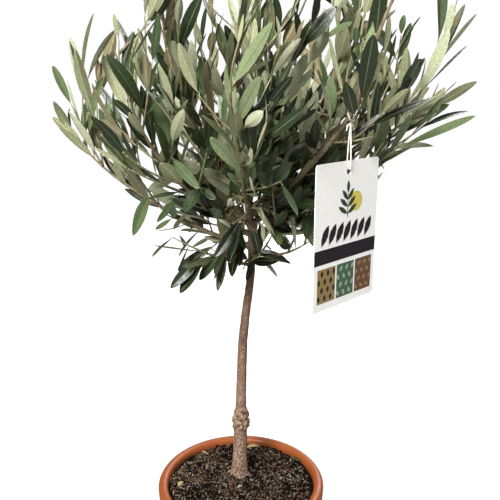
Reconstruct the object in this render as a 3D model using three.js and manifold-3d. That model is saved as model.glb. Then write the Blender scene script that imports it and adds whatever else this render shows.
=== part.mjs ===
// A young olive tree, grown as a standard on one slim trunk, in a round terracotta-coloured pot.
// A blank hanging card is tied to one of its boughs. Millimetres, +Z up, the viewer's side is -Y,
// and the origin is the centre of the pot's flat underside.
import * as THREE from "three";
import { mergeVertices } from "three/addons/utils/BufferGeometryUtils.js";
import Module from "manifold-3d";

const wasm = await Module();
wasm.setup();

// Driving dimensions of the pot and its compost
const POT_HEIGHT = 165;
const RIM_RADIUS = 95;
const RIM_WIDTH = 11;
const RIM_DEPTH = 24;
const RIM_ROUNDING = 5;
const FOOT_RADIUS = 66;
const WALL = 3.5;
const POT_FLOOR = 5;
const DRAIN_HOLES = 6;
const DRAIN_RADIUS = 5;
const DRAIN_CIRCLE = 46;
const SOIL_DROP = 5; // from the rim's top to the compost round the edge
const SOIL_DOME = 2; // how much higher the compost is round the trunk
const POT_SIDES = 40;

const SEAT_GAP = 0.3; // clearance between pieces that rest on each other
const FUSE_TOLERANCE = 0.05; // detail finer than this is dropped where solids are fused
const JOIN_TOLERANCE = 0.001;

// Driving dimensions of the trunk
const GROUND = POT_HEIGHT - SOIL_DROP + SOIL_DOME;
const TRUNK_FOOT = GROUND + SEAT_GAP;
const TRUNK_TOP = 505;
const TRUNK_FOOT_RADIUS = 6.9;
const TRUNK_TOP_RADIUS = 3.4;
const ROOT_FLARE = 1.9; // added to the radius at the ground
const ROOT_FLARE_HEIGHT = 14;
const KNOT_HEIGHT = 234; // the healed cut on the side that faces the viewer
const KNOT_SPAN = 13;
const KNOT_BULGE = 4.2;
const TRUNK_SIDES = 12;
const TRUNK_RINGS = 26;
// The trunk's axis: it leans to the right, and straightens in the crown.
const TRUNK_POINTS = [
  [-2, 15, TRUNK_FOOT],
  [0, 14, 250],
  [3, 15, 335],
  [12, 15, 420],
  [9, 14, TRUNK_TOP],
];

// The boughs. Azimuth is in degrees, 0 to the right and 270 to the viewer. `from` is the height at
// which a bough leaves the trunk, `reach` how far its tip is from there sideways, `rise` how far up.
const BOUGHS = [
  { name: "right", azimuth: 354, from: 451, reach: 70, rise: 38, stray: 0.12 },
  { name: "right_back", azimuth: 36, from: 463, reach: 66, rise: 34 },
  { name: "back", azimuth: 82, from: 441, reach: 66, rise: 38 },
  { name: "left_back", azimuth: 134, from: 464, reach: 64, rise: 34 },
  { name: "left", azimuth: 184, from: 438, reach: 78, rise: 34, stray: 0.12 },
  { name: "front_left", azimuth: 229, from: 452, reach: 64, rise: 36 },
  { name: "front", azimuth: 266, from: 467, reach: 62, rise: 32 },
  { name: "front_right", azimuth: 305, from: 473, reach: 152, rise: 117, upright: 1.3 },
  { name: "inner_right", azimuth: 12, from: 479, reach: 46, rise: 48 },
  { name: "inner_back", azimuth: 108, from: 475, reach: 42, rise: 52 },
  { name: "inner_left", azimuth: 200, from: 485, reach: 38, rise: 44 },
  { name: "inner_front", azimuth: 285, from: 491, reach: 40, rise: 44 },
];
const BOUGH_RADIUS = 3.2;
const BOUGH_TIP_RADIUS = 2;
const BOUGH_SIDES = 6;
const BOUGH_STEPS = 6;
const INNER_REACH = 55; // a bough that reaches less than this feeds the middle of the crown

// Low sprays that spring straight from the trunk, under the boughs
const LOW_SPRAYS = [
  { name: "low_front", azimuth: 254, from: 424, tilt: 8 },
  { name: "low_left", azimuth: 188, from: 417, tilt: 14 },
  { name: "low_right", azimuth: 330, from: 428, tilt: 6 },
  { name: "low_back", azimuth: 66, from: 419, tilt: 10 },
];

// The crown's outline, which the leaves' tips keep within: a dome on a bowl
const CROWN_CENTRE = [24, 12, 590];
const CROWN_LEAN = 0.13; // how far the outline leans to the right for its height
const CROWN_RADIUS = 206;
const CROWN_ABOVE = 176;
const CROWN_BELOW = 215;
const DOME_POWER = 2; // 2 is an ellipse, 1 a cone
const BOWL_POWER = 1.1;
const CROWN_RAGGED = 0.13; // share of the radius by which shoots fall short of it

// How a mass of foliage grows
const SEED = 20417;
const NODE_STEP = 23; // between two leaf nodes on a shoot
const STEM_NODES = 10;
const LOW_STEM_NODES = 4;
const SHOOT_NODES = 6;
const FORK_ANGLE = 46; // degrees between a side shoot and its stem
const FORK_CHANCE = 0.8; // that a side shoot grows at a node's side
const FORK_RISE = 0.3; // how much a side shoot starts turned up
const LIFT = 0.3; // how much a shoot turns up at every second node
const WANDER = 0.17; // how much it strays there
const STEM_RADIUS = 1.9;
const SHOOT_RADIUS = 1.4;
const SHOOT_TIP_RADIUS = 0.8;
const SHOOT_ROOT_RADIUS = 0.5;
const LEAF_LENGTH = 55;
const LEAF_WIDTH = 16.5;
const LEAF_THICKNESS = 1;
const LEAF_ANGLE = 42; // degrees between a leaf and its shoot
const LEAF_ROOT = 0.15; // how far a leaf's root is sunk past the shoot's axis
const LEAF_SUNK = 0.25; // cubic millimetres of a leaf that may lie in the shoots and other leaves
const LEAF_BELOW = 3; // how far under its node a leaf's root is
// The middle of a mass's space, from the crown's centre: how far sideways and upwards
const OUTER_MIDDLE = [150, -26];
const INNER_MIDDLE = [76, 4];
const LEADER_MIDDLE = [0, 0];
const LOW_MIDDLE = 40; // along the stem
// How much a space gains on its neighbours
const INNER_WEIGHT = -2200;
const LEADER_WEIGHT = -4200;
const LOW_WEIGHT = -9000; // of a low spray's space, against 0 for the others
const SPACE_MARGIN = 0.5; // kept to the boundary of a mass's own space
const LIMB_MARGIN = 0.8; // kept to the limbs

// The hanging card and its string
const CARD_WIDTH = 88;
const CARD_HEIGHT = 128;
const CARD_THICKNESS = 0.8;
const CARD_CORNER = 3;
const CARD_TURN = 45; // degrees from the viewer's left-right line
const CARD_HOLE_RADIUS = 3;
const CARD_HOLE_DROP = 9; // from the card's top edge to the middle of its hole
const CARD_BOUGH = "front_right";
const CARD_PLACE = 0.96; // along that bough
const STRING_LENGTH = 46; // from the bough's axis to the hole's middle
const STRING_RADIUS = 0.7;
const STRING_KNOT_DROP = 9; // from the bough's axis to the knot
const STRING_KNOT_RADIUS = 1.9;

const UP = new THREE.Vector3(0, 0, 1);
const radians = THREE.MathUtils.degToRad;

const colours = {
  pot: new THREE.MeshStandardMaterial({ color: 0xb8683f, roughness: 0.5, metalness: 0 }),
  soil: new THREE.MeshStandardMaterial({ color: 0x3b2f27, roughness: 1, metalness: 0 }),
  bark: new THREE.MeshStandardMaterial({ color: 0x8a7263, roughness: 0.9, metalness: 0 }),
  twig: new THREE.MeshStandardMaterial({ color: 0x7d7458, roughness: 0.85, metalness: 0 }),
  foliage: new THREE.MeshStandardMaterial({ color: 0x6f7a50, roughness: 0.6, metalness: 0 }),
  card: new THREE.MeshStandardMaterial({ color: 0xf1eeea, roughness: 0.4, metalness: 0 }),
  string: new THREE.MeshStandardMaterial({ color: 0xe9e6da, roughness: 0.8, metalness: 0 }),
};

// A number from 0 to 1 that is always the same for the same keys.
function chance(...keys) {
  let mixed = SEED;
  for (const key of keys) {
    mixed = Math.imul(mixed ^ (key + 0x9e3779b9), 0x85ebca6b);
    mixed ^= mixed >>> 13;
    mixed = Math.imul(mixed, 0xc2b2ae35);
    mixed ^= mixed >>> 16;
  }
  return (mixed >>> 0) / 4294967296;
}

// The same, spread evenly from -1 to 1.
function sway(...keys) {
  return 2 * chance(...keys) - 1;
}

// Solids and geometry

function solidOf(geometry) {
  const bare = geometry.clone();
  bare.deleteAttribute("normal");
  bare.deleteAttribute("uv");
  const merged = mergeVertices(bare, 1e-4);
  return new wasm.Manifold(
    new wasm.Mesh({
      numProp: 3,
      vertProperties: merged.attributes.position.array,
      triVerts: new Uint32Array(merged.index.array),
    }),
  );
}

function geometryOf(manifold) {
  const mesh = manifold.getMesh();
  const positions = new Float32Array(mesh.numVert * 3);
  for (let i = 0; i < mesh.numVert; i++) {
    positions.set(mesh.vertProperties.subarray(i * mesh.numProp, i * mesh.numProp + 3), i * 3);
  }
  return new THREE.BufferGeometry()
    .setAttribute("position", new THREE.BufferAttribute(positions, 3))
    .setIndex(new THREE.BufferAttribute(new Uint32Array(mesh.triVerts), 1));
}

// The faces of a geometry as lists, one list for each shell of faces that hang together.
function shellsOf(geometry) {
  const { array } = geometry.index;
  const parent = Array.from({ length: geometry.attributes.position.count }, (_, i) => i);
  const root = (i) => {
    while (parent[i] !== i) {
      parent[i] = parent[parent[i]];
      i = parent[i];
    }
    return i;
  };
  for (let i = 0; i < array.length; i += 3) {
    parent[root(array[i + 1])] = root(array[i]);
    parent[root(array[i + 2])] = root(array[i]);
  }
  const shells = new Map();
  for (let i = 0; i < array.length; i += 3) {
    const key = root(array[i]);
    if (!shells.has(key)) shells.set(key, []);
    shells.get(key).push(array[i], array[i + 1], array[i + 2]);
  }
  return [...shells.values()];
}

// Joins the corners that lie within JOIN_TOLERANCE of each other and drops the faces this flattens.
function cleaned(geometry) {
  const merged = mergeVertices(geometry, JOIN_TOLERANCE);
  const { array } = merged.index;
  const kept = [];
  for (let i = 0; i < array.length; i += 3) {
    const [a, b, c] = array.subarray(i, i + 3);
    if (a !== b && b !== c && a !== c) kept.push(a, b, c);
  }
  merged.setIndex(kept);
  return merged;
}

// One closed body from solids that overlap. Only the outer skin of the largest body stays, so a
// loose scrap goes, and so does the skin of a sealed hollow, which fills the hollow.
function fused(manifold) {
  const geometry = geometryOf(manifold.simplify(FUSE_TOLERANCE));
  const corner = [0, 1, 2].map(() => new THREE.Vector3());
  let best = null;
  let most = 0;
  for (const shell of shellsOf(geometry)) {
    let volume = 0;
    for (let i = 0; i < shell.length; i += 3) {
      corner.forEach((point, k) => {
        point.fromBufferAttribute(geometry.attributes.position, shell[i + k]);
      });
      volume += corner[0].dot(corner[1].cross(corner[2])) / 6;
    }
    if (volume > most) [best, most] = [shell, volume];
  }
  geometry.setIndex(best);
  return cleaned(geometry);
}

function geometryFrom(positions, faces) {
  return new THREE.BufferGeometry()
    .setAttribute("position", new THREE.Float32BufferAttribute(positions.flat(), 3))
    .setIndex(faces.flat());
}

// A closed tube through points, with a radius at each. A ring joins its last point to its first.
function tubeGeometry(points, radii, sides, ring = false) {
  const count = points.length;
  const positions = [];
  const faces = [];
  let side = null;
  for (let i = 0; i < count; i++) {
    const before = points[ring ? (i + count - 1) % count : Math.max(i - 1, 0)];
    const after = points[ring ? (i + 1) % count : Math.min(i + 1, count - 1)];
    const along = after.clone().sub(before).normalize();
    if (side === null) side = Math.abs(along.z) < 0.9 ? UP.clone() : new THREE.Vector3(1, 0, 0);
    side = side.addScaledVector(along, -side.dot(along)).normalize();
    const other = along.clone().cross(side);
    for (let k = 0; k < sides; k++) {
      const angle = (2 * Math.PI * k) / sides;
      const corner = points[i].clone();
      corner.addScaledVector(side, radii[i] * Math.cos(angle));
      corner.addScaledVector(other, radii[i] * Math.sin(angle));
      positions.push(corner.toArray());
    }
  }
  const spans = ring ? count : count - 1;
  for (let i = 0; i < spans; i++) {
    for (let k = 0; k < sides; k++) {
      const a = i * sides + k;
      const b = i * sides + ((k + 1) % sides);
      const c = ((i + 1) % count) * sides + ((k + 1) % sides);
      const d = ((i + 1) % count) * sides + k;
      faces.push([a, b, c], [a, c, d]);
    }
  }
  for (let k = 1; !ring && k < sides - 1; k++) {
    const last = (count - 1) * sides;
    faces.push([0, k + 1, k], [last, last + k, last + k + 1]);
  }
  return geometryFrom(positions, faces);
}

// Turns a profile of [radius, height] pairs round the Z axis.
function turned(profile) {
  const points = profile.map(([radius, height]) => new THREE.Vector2(radius, height));
  return new THREE.LatheGeometry(points, POT_SIDES).rotateX(Math.PI / 2);
}

// The pot and its compost

const INNER_TOP = RIM_RADIUS - RIM_WIDTH;
const WALL_SLOPE = (INNER_TOP + WALL - FOOT_RADIUS) / (POT_HEIGHT - RIM_DEPTH);

// The radius inside the pot at a height.
function insideRadius(height) {
  return Math.min(INNER_TOP, FOOT_RADIUS - WALL + WALL_SLOPE * height);
}

function potGeometry() {
  const under = POT_HEIGHT - RIM_DEPTH;
  const arc = [];
  for (let i = 0; i <= 4; i++) {
    const angle = (Math.PI * i) / 4;
    arc.push([
      RIM_RADIUS - RIM_WIDTH / 2 + (RIM_WIDTH / 2) * Math.cos(angle),
      POT_HEIGHT - RIM_ROUNDING + RIM_ROUNDING * Math.sin(angle),
    ]);
  }
  const outside = [
    [0, 0],
    [FOOT_RADIUS - 2, 0],
    [FOOT_RADIUS, 2],
    [INNER_TOP + WALL, under],
    [RIM_RADIUS - 2, under],
    [RIM_RADIUS - 1, under + 1],
  ];
  const inside = [
    [insideRadius(under), under],
    [insideRadius(POT_FLOOR), POT_FLOOR],
    [0, POT_FLOOR],
  ];
  let pot = solidOf(turned([...outside, ...arc, ...inside]));
  for (let i = 0; i < DRAIN_HOLES; i++) {
    const angle = (2 * Math.PI * (i + 0.5)) / DRAIN_HOLES;
    const hole = new THREE.CylinderGeometry(DRAIN_RADIUS, DRAIN_RADIUS, 3 * POT_FLOOR, 10)
      .rotateX(Math.PI / 2)
      .translate(DRAIN_CIRCLE * Math.cos(angle), DRAIN_CIRCLE * Math.sin(angle), 0);
    pot = pot.subtract(solidOf(hole));
  }
  return geometryOf(pot);
}

function soilGeometry() {
  const bottom = POT_FLOOR + SEAT_GAP;
  const under = POT_HEIGHT - RIM_DEPTH;
  const edge = POT_HEIGHT - SOIL_DROP;
  return turned([
    [0, bottom],
    [insideRadius(bottom) - SEAT_GAP, bottom],
    [insideRadius(under) - SEAT_GAP, under],
    [INNER_TOP - SEAT_GAP, edge - 1],
    [INNER_TOP - 3, edge],
    [INNER_TOP * 0.6, edge + SOIL_DOME * 0.7],
    [INNER_TOP * 0.3, GROUND],
    [0, GROUND],
  ]);
}

// The trunk

const trunkCurve = new THREE.CatmullRomCurve3(
  TRUNK_POINTS.map((point) => new THREE.Vector3(...point)),
  false,
  "catmullrom",
);

// The trunk's axis at a height.
function trunkAxis(height) {
  let low = 0;
  let high = 1;
  for (let i = 0; i < 40; i++) {
    const middle = (low + high) / 2;
    if (trunkCurve.getPoint(middle).z < height) low = middle;
    else high = middle;
  }
  const point = trunkCurve.getPoint(low);
  point.z = height;
  return point;
}

function trunkRadius(height) {
  const share = (height - TRUNK_FOOT) / (TRUNK_TOP - TRUNK_FOOT);
  const taper = TRUNK_FOOT_RADIUS + (TRUNK_TOP_RADIUS - TRUNK_FOOT_RADIUS) * share;
  return taper + ROOT_FLARE * Math.exp(-(height - TRUNK_FOOT) / ROOT_FLARE_HEIGHT);
}

// The lump of the healed cut, on the viewer's side: angle 270 degrees.
function knotBulge(height, angle) {
  const away = (height - KNOT_HEIGHT) / KNOT_SPAN;
  const facing = 0.62 + 0.38 * Math.cos(angle - radians(285));
  return KNOT_BULGE * Math.exp(-1.5 * away ** 4) * facing;
}

// Rings are closer together over the knot and at the root flare.
function trunkGeometry(extra = 0) {
  const rings = [];
  for (let i = 0; i < TRUNK_RINGS; i++) {
    const share = i / (TRUNK_RINGS - 1);
    rings.push(TRUNK_FOOT + (TRUNK_TOP - TRUNK_FOOT) * share ** 1.45);
  }
  const positions = [];
  const faces = [];
  rings.forEach((height, i) => {
    const centre = trunkAxis(height);
    for (let k = 0; k < TRUNK_SIDES; k++) {
      const angle = (2 * Math.PI * k) / TRUNK_SIDES;
      const radius = trunkRadius(height) + knotBulge(height, angle) + extra;
      positions.push([
        centre.x + radius * Math.cos(angle),
        centre.y + radius * Math.sin(angle),
        i === TRUNK_RINGS - 1 ? height + extra : height,
      ]);
    }
  });
  for (let i = 0; i < TRUNK_RINGS - 1; i++) {
    for (let k = 0; k < TRUNK_SIDES; k++) {
      const next = (k + 1) % TRUNK_SIDES;
      const a = i * TRUNK_SIDES + k;
      const b = i * TRUNK_SIDES + next;
      const c = b + TRUNK_SIDES;
      const d = a + TRUNK_SIDES;
      faces.push([a, b, c], [a, c, d]);
    }
  }
  for (let k = 1; k < TRUNK_SIDES - 1; k++) {
    const last = (TRUNK_RINGS - 1) * TRUNK_SIDES;
    faces.push([0, k + 1, k], [last, last + k, last + k + 1]);
  }
  return geometryFrom(positions, faces);
}

// The boughs

function outward(azimuth) {
  return new THREE.Vector3(Math.cos(radians(azimuth)), Math.sin(radians(azimuth)), 0);
}

// A bough leaves the trunk low and bends up along its length.
function boughCurve({ azimuth, from, reach, rise }) {
  const start = trunkAxis(from);
  const bend = start.clone().addScaledVector(outward(azimuth), reach * 0.56);
  bend.addScaledVector(UP, rise * 0.36);
  const tip = start.clone().addScaledVector(outward(azimuth), reach);
  tip.addScaledVector(UP, rise);
  return new THREE.QuadraticBezierCurve3(start, bend, tip);
}

function boughRadius(share) {
  return BOUGH_RADIUS + (BOUGH_TIP_RADIUS - BOUGH_RADIUS) * share;
}

function boughTube(bough, extra = 0) {
  const points = boughCurve(bough).getPoints(BOUGH_STEPS);
  const radii = points.map((_, i) => boughRadius(i / BOUGH_STEPS) + extra);
  return solidOf(tubeGeometry(points, radii, BOUGH_SIDES));
}

// The limbs as lines with a radius at both ends, for the tests of what touches them.
function limbLines() {
  const lines = [];
  const heights = [390, 420, 450, 480, TRUNK_TOP];
  for (let i = 0; i + 1 < heights.length; i++) {
    lines.push({
      a: trunkAxis(heights[i]),
      b: trunkAxis(heights[i + 1]),
      radius: trunkRadius(heights[i]),
      feeds: ["leader", ...LOW_SPRAYS.map((spray) => spray.name)],
    });
  }
  for (const bough of BOUGHS) {
    const points = boughCurve(bough).getPoints(BOUGH_STEPS);
    for (let i = 0; i < BOUGH_STEPS; i++) {
      const radius = boughRadius(i / BOUGH_STEPS);
      lines.push({ a: points[i], b: points[i + 1], radius, feeds: [bough.name] });
    }
  }
  return lines;
}

// The card and its string

const cardBough = boughCurve(BOUGHS.find((bough) => bough.name === CARD_BOUGH));
const stringTop = cardBough.getPoint(CARD_PLACE);
const stringAcross = cardBough.getTangent(CARD_PLACE).cross(UP).normalize();
const stringOver = stringAcross.clone().cross(cardBough.getTangent(CARD_PLACE));
const cardWide = outward(CARD_TURN);
const cardFacing = outward(CARD_TURN - 90);
const cardHole = stringTop.clone().addScaledVector(UP, -STRING_LENGTH);

function cardGeometry() {
  const half = CARD_WIDTH / 2;
  const top = CARD_HOLE_DROP;
  const low = top - CARD_HEIGHT;
  const outline = new THREE.Shape();
  outline.moveTo(-half + CARD_CORNER, low);
  outline.lineTo(half - CARD_CORNER, low);
  outline.quadraticCurveTo(half, low, half, low + CARD_CORNER);
  outline.lineTo(half, top - CARD_CORNER);
  outline.quadraticCurveTo(half, top, half - CARD_CORNER, top);
  outline.lineTo(-half + CARD_CORNER, top);
  outline.quadraticCurveTo(-half, top, -half, top - CARD_CORNER);
  outline.lineTo(-half, low + CARD_CORNER);
  outline.quadraticCurveTo(-half, low, -half + CARD_CORNER, low);
  const hole = new THREE.Path();
  hole.absarc(0, 0, CARD_HOLE_RADIUS, 0, 2 * Math.PI, true);
  outline.holes.push(hole);
  return new THREE.ExtrudeGeometry(outline, {
    depth: CARD_THICKNESS,
    bevelEnabled: false,
    curveSegments: 6,
  }).translate(0, 0, -CARD_THICKNESS / 2);
}

// The card hangs by the top of its hole from the string.
function cardMesh() {
  const mesh = new THREE.Mesh(cardGeometry(), colours.card);
  const drop = CARD_HOLE_RADIUS - STRING_RADIUS - 2 * SEAT_GAP;
  mesh.position.copy(cardHole).addScaledVector(UP, -drop);
  mesh.matrixAutoUpdate = false;
  mesh.matrix.makeBasis(cardWide, UP, cardFacing).setPosition(mesh.position);
  return mesh;
}

// One loop goes through the card's hole and up to a knot, and a small one from there over the bough.
function stringGeometry() {
  const knot = stringTop.clone().addScaledVector(UP, -STRING_KNOT_DROP);
  const hang = STRING_LENGTH - STRING_KNOT_DROP;
  // Half of the loop through the hole: how far to the side, and how far up
  const half = [[1, 0.25], [1.6, 1.2], [1.9, 4], [1.7, hang * 0.35], [1, hang * 0.7]];
  const back = half.map(([side, up]) => [-side, up]).reverse();
  const lower = [[0, 0], ...half, [0, hang], ...back].map(([side, up]) => {
    return cardHole.clone().addScaledVector(cardFacing, side).addScaledVector(UP, up);
  });
  const overRadius = boughRadius(CARD_PLACE) + SEAT_GAP + STRING_RADIUS + 0.3;
  const upperTurns = 12;
  const upper = [];
  for (let i = 0; i < upperTurns; i++) {
    const angle = (2 * Math.PI * i) / upperTurns;
    const point = stringTop.clone().addScaledVector(stringOver, overRadius * Math.cos(angle));
    point.addScaledVector(stringAcross, overRadius * Math.sin(angle));
    upper.push(point.lerp(knot, Math.max(0, -Math.cos(angle)) ** 2));
  }
  const bead = new THREE.IcosahedronGeometry(STRING_KNOT_RADIUS, 1).translate(...knot.toArray());
  const pieces = [lower, upper].map((points) => {
    return solidOf(tubeGeometry(points, points.map(() => STRING_RADIUS), 5, true));
  });
  return fused(wasm.Manifold.union([...pieces, solidOf(bead)]));
}

// The masses of foliage. Each keeps to its own space: the points that are nearer to its middle
// than to any other, counted with a weight, so every space is convex.

function massList() {
  const masses = BOUGHS.map((bough) => {
    const curve = boughCurve(bough);
    const inner = bough.reach < INNER_REACH;
    const [away, above] = inner ? INNER_MIDDLE : OUTER_MIDDLE;
    const middle = new THREE.Vector3(...CROWN_CENTRE).addScaledVector(UP, above);
    middle.addScaledVector(outward(bough.azimuth), away);
    const { name, stray = 0, upright = 0 } = bough;
    const tangent = curve.getTangent(1);
    const heading = tangent.clone().addScaledVector(UP, upright).normalize();
    const tilt = heading.clone().cross(tangent).length();
    const start = curve.getPoint(1).addScaledVector(tangent, SEAT_GAP + STEM_RADIUS * tilt);
    const weight = inner ? INNER_WEIGHT : 0;
    return { name, start, heading, middle, weight, stray, nodes: STEM_NODES };
  });
  const leader = trunkAxis(TRUNK_TOP).addScaledVector(UP, SEAT_GAP);
  masses.push({
    name: "leader",
    start: leader,
    heading: UP.clone(),
    middle: new THREE.Vector3(...CROWN_CENTRE).addScaledVector(UP, LEADER_MIDDLE[1]),
    weight: LEADER_WEIGHT,
    stray: 0,
    nodes: STEM_NODES,
  });
  for (const { name, azimuth, from, tilt } of LOW_SPRAYS) {
    const start = trunkAxis(from);
    const heading = outward(azimuth).multiplyScalar(Math.cos(radians(tilt)));
    heading.addScaledVector(UP, Math.sin(radians(tilt)));
    const middle = start.clone().addScaledVector(heading, LOW_MIDDLE);
    const rest = { weight: LOW_WEIGHT, stray: 0.1, nodes: LOW_STEM_NODES, low: true };
    masses.push({ name, start, heading, middle, ...rest });
  }
  masses.forEach((mass, index) => Object.assign(mass, { index }));
  return masses;
}

const masses = massList();
const limbs = limbLines();
limbs.push({ a: stringTop, b: cardHole, radius: 3, feeds: [] });

// Whether a point lies in a mass's own space, at least a margin from its boundary.
function inSpace(mass, point, margin) {
  const own = point.distanceToSquared(mass.middle) - mass.weight;
  return masses.every((other) => {
    if (other === mass) return true;
    const theirs = point.distanceToSquared(other.middle) - other.weight;
    return theirs - own > 2 * margin * mass.middle.distanceTo(other.middle);
  });
}

// 1 on the crown's outline, less inside it.
function crownShare(point) {
  const [x, y, z] = CROWN_CENTRE;
  const [power, high] = point.z > z ? [DOME_POWER, CROWN_ABOVE] : [BOWL_POWER, CROWN_BELOW];
  const across = Math.hypot(point.x - x - CROWN_LEAN * (point.z - z), point.y - y) / CROWN_RADIUS;
  return (across ** power + (Math.abs(point.z - z) / high) ** power) ** (1 / power);
}

function distanceToLine(point, { a, b }) {
  const along = b.clone().sub(a);
  const share = point.clone().sub(a).dot(along) / along.lengthSq();
  return point.distanceTo(a.clone().addScaledVector(along, Math.min(1, Math.max(0, share))));
}

// Whether a ball meets a limb or the card. A mass's own stem starts on its bough or the trunk.
function touchesSomething(point, radius, own = "none") {
  const near = limbs.some((limb) => {
    if (limb.feeds.includes(own)) return false;
    return distanceToLine(point, limb) < limb.radius + radius + LIMB_MARGIN;
  });
  const offset = point.clone().sub(cardHole);
  const room = radius + LIMB_MARGIN;
  const byCard =
    Math.abs(offset.dot(cardFacing)) < CARD_THICKNESS / 2 + room &&
    Math.abs(offset.dot(cardWide)) < CARD_WIDTH / 2 + room &&
    offset.z < CARD_HOLE_DROP + room &&
    offset.z > CARD_HOLE_DROP - CARD_HEIGHT - 2 * CARD_HOLE_RADIUS - room;
  return near || byCard;
}

// A shoot as a list of nodes, one every NODE_STEP. At every second one it turns up and strays.
// Where it would leave the crown it turns up and in; it stops where it would leave its mass's
// space or meet a limb.
function growShoot(mass, key, start, heading, nodes, radius) {
  const isStem = key === 0;
  const short = isStem ? -mass.stray : CROWN_RAGGED * chance(mass.index, key, 1);
  const limit = 0.97 - (mass.low ? 0 : short);
  const points = [start.clone()];
  const along = heading.clone().normalize();
  const fits = (next, own) => {
    const middle = points[points.length - 1].clone().lerp(next, 0.5);
    return (
      inSpace(mass, next, radius + SPACE_MARGIN) &&
      crownShare(next) < Math.max(limit, crownShare(points[points.length - 1])) &&
      (points.length === 1 || !touchesSomething(middle, radius, own)) &&
      !touchesSomething(next, radius, own)
    );
  };
  for (let i = 1; i <= nodes; i++) {
    const own = isStem && i < 3 ? mass.name : "none";
    const last = points[i - 1];
    let next = last.clone().addScaledVector(along, NODE_STEP);
    for (let turn = 0; turn < 3 && i % 2 === 1 && !fits(next, own); turn++) {
      const inward = mass.middle.clone().addScaledVector(UP, 60).sub(last).normalize();
      along.addScaledVector(inward, 0.5).normalize();
      next = last.clone().addScaledVector(along, NODE_STEP);
    }
    if (!fits(next, own)) break;
    points.push(next);
    if (i % 2 === 1) continue;
    along.z += isStem ? (2 * LIFT * i) / nodes : LIFT;
    along.x += WANDER * sway(mass.index, key, i, 2);
    along.y += WANDER * sway(mass.index, key, i, 3);
    along.z += WANDER * sway(mass.index, key, i, 4);
    along.normalize();
  }
  return points;
}

// Two directions square to a shoot's, for the leaves and side shoots round it.
function acrossOf(along) {
  const first = new THREE.Vector3(along.z, 0, -along.x);
  if (first.lengthSq() < 1e-6) first.set(1, 0, 0);
  first.addScaledVector(along, -first.dot(along)).normalize();
  return [first, along.clone().cross(first)];
}

function tilted(along, degrees, turn) {
  const [first, second] = acrossOf(along);
  return along
    .clone()
    .multiplyScalar(Math.cos(radians(degrees)))
    .addScaledVector(first, Math.sin(radians(degrees)) * Math.cos(radians(turn)))
    .addScaledVector(second, Math.sin(radians(degrees)) * Math.sin(radians(turn)));
}

// Every shoot of a mass: its stem first, then the side shoots. They leave the stem's nodes in
// pairs, and each pair is square to the one before.
function shootsOf(mass) {
  const stem = growShoot(mass, 0, mass.start, mass.heading, mass.nodes, STEM_RADIUS);
  const shoots = [{ key: 0, points: stem, radius: STEM_RADIUS }];
  for (let i = 1; i < stem.length - 1; i++) {
    const along = stem[i].clone().sub(stem[i - 1]).normalize();
    for (let side = 0; side < 2; side++) {
      const key = 2 * i + side;
      if (chance(mass.index, key, 11) > FORK_CHANCE) continue;
      const turn = 90 * i + 180 * side + 45 + 30 * sway(mass.index, key, 5);
      const heading = tilted(along, FORK_ANGLE + 8 * sway(mass.index, key, 6), turn);
      heading.z += FORK_RISE;
      const full = mass.low ? SHOOT_NODES - 3 : SHOOT_NODES;
      const nodes = Math.round(full - 2 * chance(mass.index, key, 7));
      const points = growShoot(mass, key, stem[i], heading, nodes, SHOOT_RADIUS);
      if (points.length > 2) shoots.push({ key, points, radius: SHOOT_RADIUS });
    }
  }
  return shoots;
}

// A leaf's place: its root on the shoot, its direction, and the way its upper side faces.
function leafAt(mass, shoot, i, sideTurn) {
  const { points, key } = shoot;
  const last = i === points.length - 1;
  const along = points[i].clone().sub(points[i - 1]).normalize();
  const turn = 90 * i + sideTurn + 24 * sway(mass.index, key, i, 8 + sideTurn);
  const lean = (last ? 8 : LEAF_ANGLE) + 12 * sway(mass.index, key, i, 9 + sideTurn);
  const direction = tilted(along, lean, turn);
  const facing = along.clone().addScaledVector(direction, -along.dot(direction));
  if (facing.lengthSq() < 1e-4) facing.copy(acrossOf(direction)[0]);
  facing.normalize();
  const size = 0.86 + 0.24 * chance(mass.index, key, i, 10 + sideTurn);
  const root = points[i].clone().addScaledVector(along, -LEAF_BELOW);
  root.addScaledVector(direction, -LEAF_ROOT);
  return { root, direction, facing, length: LEAF_LENGTH * size, width: LEAF_WIDTH * size };
}

function leafCorners({ root, direction, facing, length, width }) {
  const across = direction.clone().cross(facing);
  const widest = root.clone().addScaledVector(direction, length * 0.5);
  return [
    root,
    root.clone().addScaledVector(direction, length),
    widest.clone().addScaledVector(across, width / 2),
    widest.clone().addScaledVector(across, -width / 2),
    widest.clone().addScaledVector(facing, LEAF_THICKNESS / 2),
    widest.clone().addScaledVector(facing, -LEAF_THICKNESS / 2),
  ];
}

function leafFits(mass, leaf) {
  const corners = leafCorners(leaf);
  if (!corners.every((corner) => inSpace(mass, corner, SPACE_MARGIN))) return false;
  if (crownShare(corners[1]) > 1 + mass.stray) return false;
  return [0.3, 0.5, 0.7, 0.85, 1].every((share) => {
    const point = leaf.root.clone().addScaledVector(leaf.direction, leaf.length * share);
    return !touchesSomething(point, leaf.width * (0.5 - Math.abs(share - 0.5)) + 0.5);
  });
}

function leafGeometry(leaf) {
  const [ROOT, TIP, LEFT, RIGHT, UPPER, UNDER] = [0, 1, 2, 3, 4, 5];
  const faces = [
    [ROOT, LEFT, UPPER],
    [LEFT, TIP, UPPER],
    [TIP, RIGHT, UPPER],
    [RIGHT, ROOT, UPPER],
    [ROOT, UNDER, LEFT],
    [LEFT, UNDER, TIP],
    [TIP, UNDER, RIGHT],
    [RIGHT, UNDER, ROOT],
  ];
  return geometryFrom(leafCorners(leaf).map((corner) => corner.toArray()), faces);
}

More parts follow.
